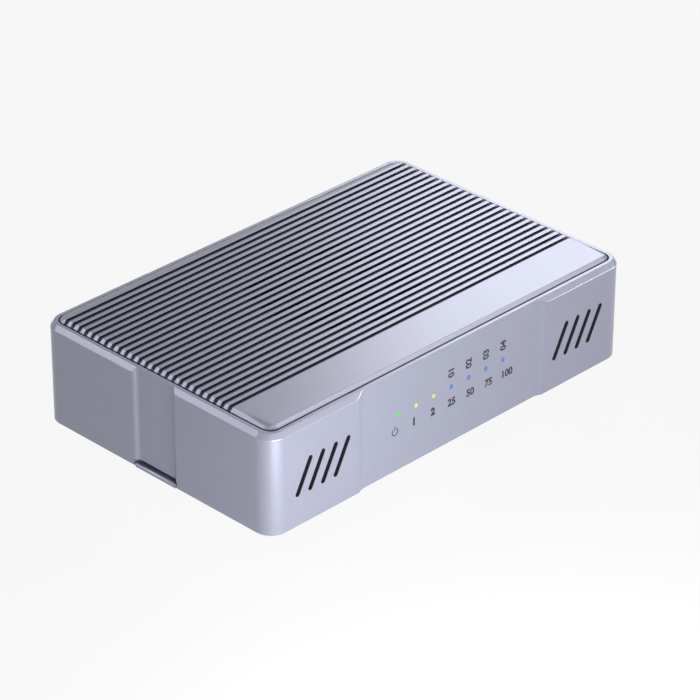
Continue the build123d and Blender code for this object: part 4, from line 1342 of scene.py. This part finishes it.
def seen_rays(add):
    """1 for rays that show the background: camera, glossy and transmission rays."""
    rays = add("ShaderNodeLightPath").outputs
    seen = rays["Is Camera Ray"]
    for kind in ("Is Glossy Ray", "Is Transmission Ray"):
        seen = add("ShaderNodeMath", {0: seen, 1: rays[kind]}, operation="MAXIMUM").outputs[0]
    return seen


def studio_world(level):
    """Even light of the given level from all round, and white where the background shows."""
    world = bpy.data.worlds.new("studio")
    add = emptied(world)
    light = add("ShaderNodeBackground", {"Color": WHITE, "Strength": level}).outputs[0]
    white = add("ShaderNodeBackground", {"Color": WHITE, "Strength": 1.0}).outputs[0]
    seen = add("ShaderNodeMixShader", {0: seen_rays(add), 1: light, 2: white})
    add("ShaderNodeOutputWorld", {"Surface": seen.outputs["Shader"]})
    return world


class ENCLOSURE_OT_stage(bpy.types.Operator):
    """Sets the floor, the lamps, the world and the camera"""

    bl_idname = "enclosure.stage"
    bl_label = "Stage"

    def execute(self, context):
        studio = context.scene.enclosure_studio
        reach = FLOOR_REACH / MM
        square = [(-reach, -reach, 0), (reach, -reach, 0), (reach, reach, 0), (-reach, reach, 0)]
        floor = add_object("floor", new_mesh("floor", square, [(0, 1, 2, 3)]))
        floor.data.materials.append(pale_floor())
        for name, (size, place) in LAMPS.items():
            aim = (0, 0, min(place[2], studio.aim_height))
            area_lamp(f"{name}_softbox", getattr(studio, f"{name}_watts"), size, place, aim)
        add_camera(studio)
        context.scene.world = studio_world(studio.world_level)
        context.scene.view_settings.view_transform = "Standard"
        return {"FINISHED"}


# Add-on


class ENCLOSURE_PT_panel(bpy.types.Panel):
    """Lists the enclosure's pieces in the sidebar"""

    bl_idname = "ENCLOSURE_PT_panel"
    bl_label = "Drive enclosure"
    bl_space_type = "VIEW_3D"
    bl_region_type = "UI"
    bl_category = "Enclosure"

    def draw(self, context):
        column = self.layout.column()
        for group in SETTINGS:
            settings = getattr(context.scene, group)
            for name in settings.__annotations__:
                column.prop(settings, name)
        for operator in OPERATORS:
            column.operator(operator.bl_idname)


OPERATORS = (
    ENCLOSURE_OT_finishes,
    ENCLOSURE_OT_shell,
    ENCLOSURE_OT_cover,
    ENCLOSURE_OT_fan,
    ENCLOSURE_OT_feet,
    ENCLOSURE_OT_lights,
    ENCLOSURE_OT_marks,
    ENCLOSURE_OT_board,
    ENCLOSURE_OT_stage,
)
SETTINGS = {
    "enclosure_sizes": EnclosureSizes,
    "enclosure_colours": EnclosureColours,
    "enclosure_studio": EnclosureStudio,
}
CLASSES = (*SETTINGS.values(), *OPERATORS, ENCLOSURE_PT_panel)


def register():
    for cls in CLASSES:
        bpy.utils.register_class(cls)
    for name, group in SETTINGS.items():
        setattr(bpy.types.Scene, name, PointerProperty(type=group))


def unregister():
    for name in SETTINGS:
        delattr(bpy.types.Scene, name)
    for cls in reversed(CLASSES):
        bpy.utils.unregister_class(cls)


def main():
    register()
    bpy.ops.enclosure.finishes()
    bpy.ops.enclosure.shell()
    bpy.ops.enclosure.cover()
    bpy.ops.enclosure.fan()
    bpy.ops.enclosure.feet()
    bpy.ops.enclosure.lights()
    bpy.ops.enclosure.marks()
    bpy.ops.enclosure.board()
    bpy.ops.enclosure.stage()


if __name__ == "__main__":
    main()
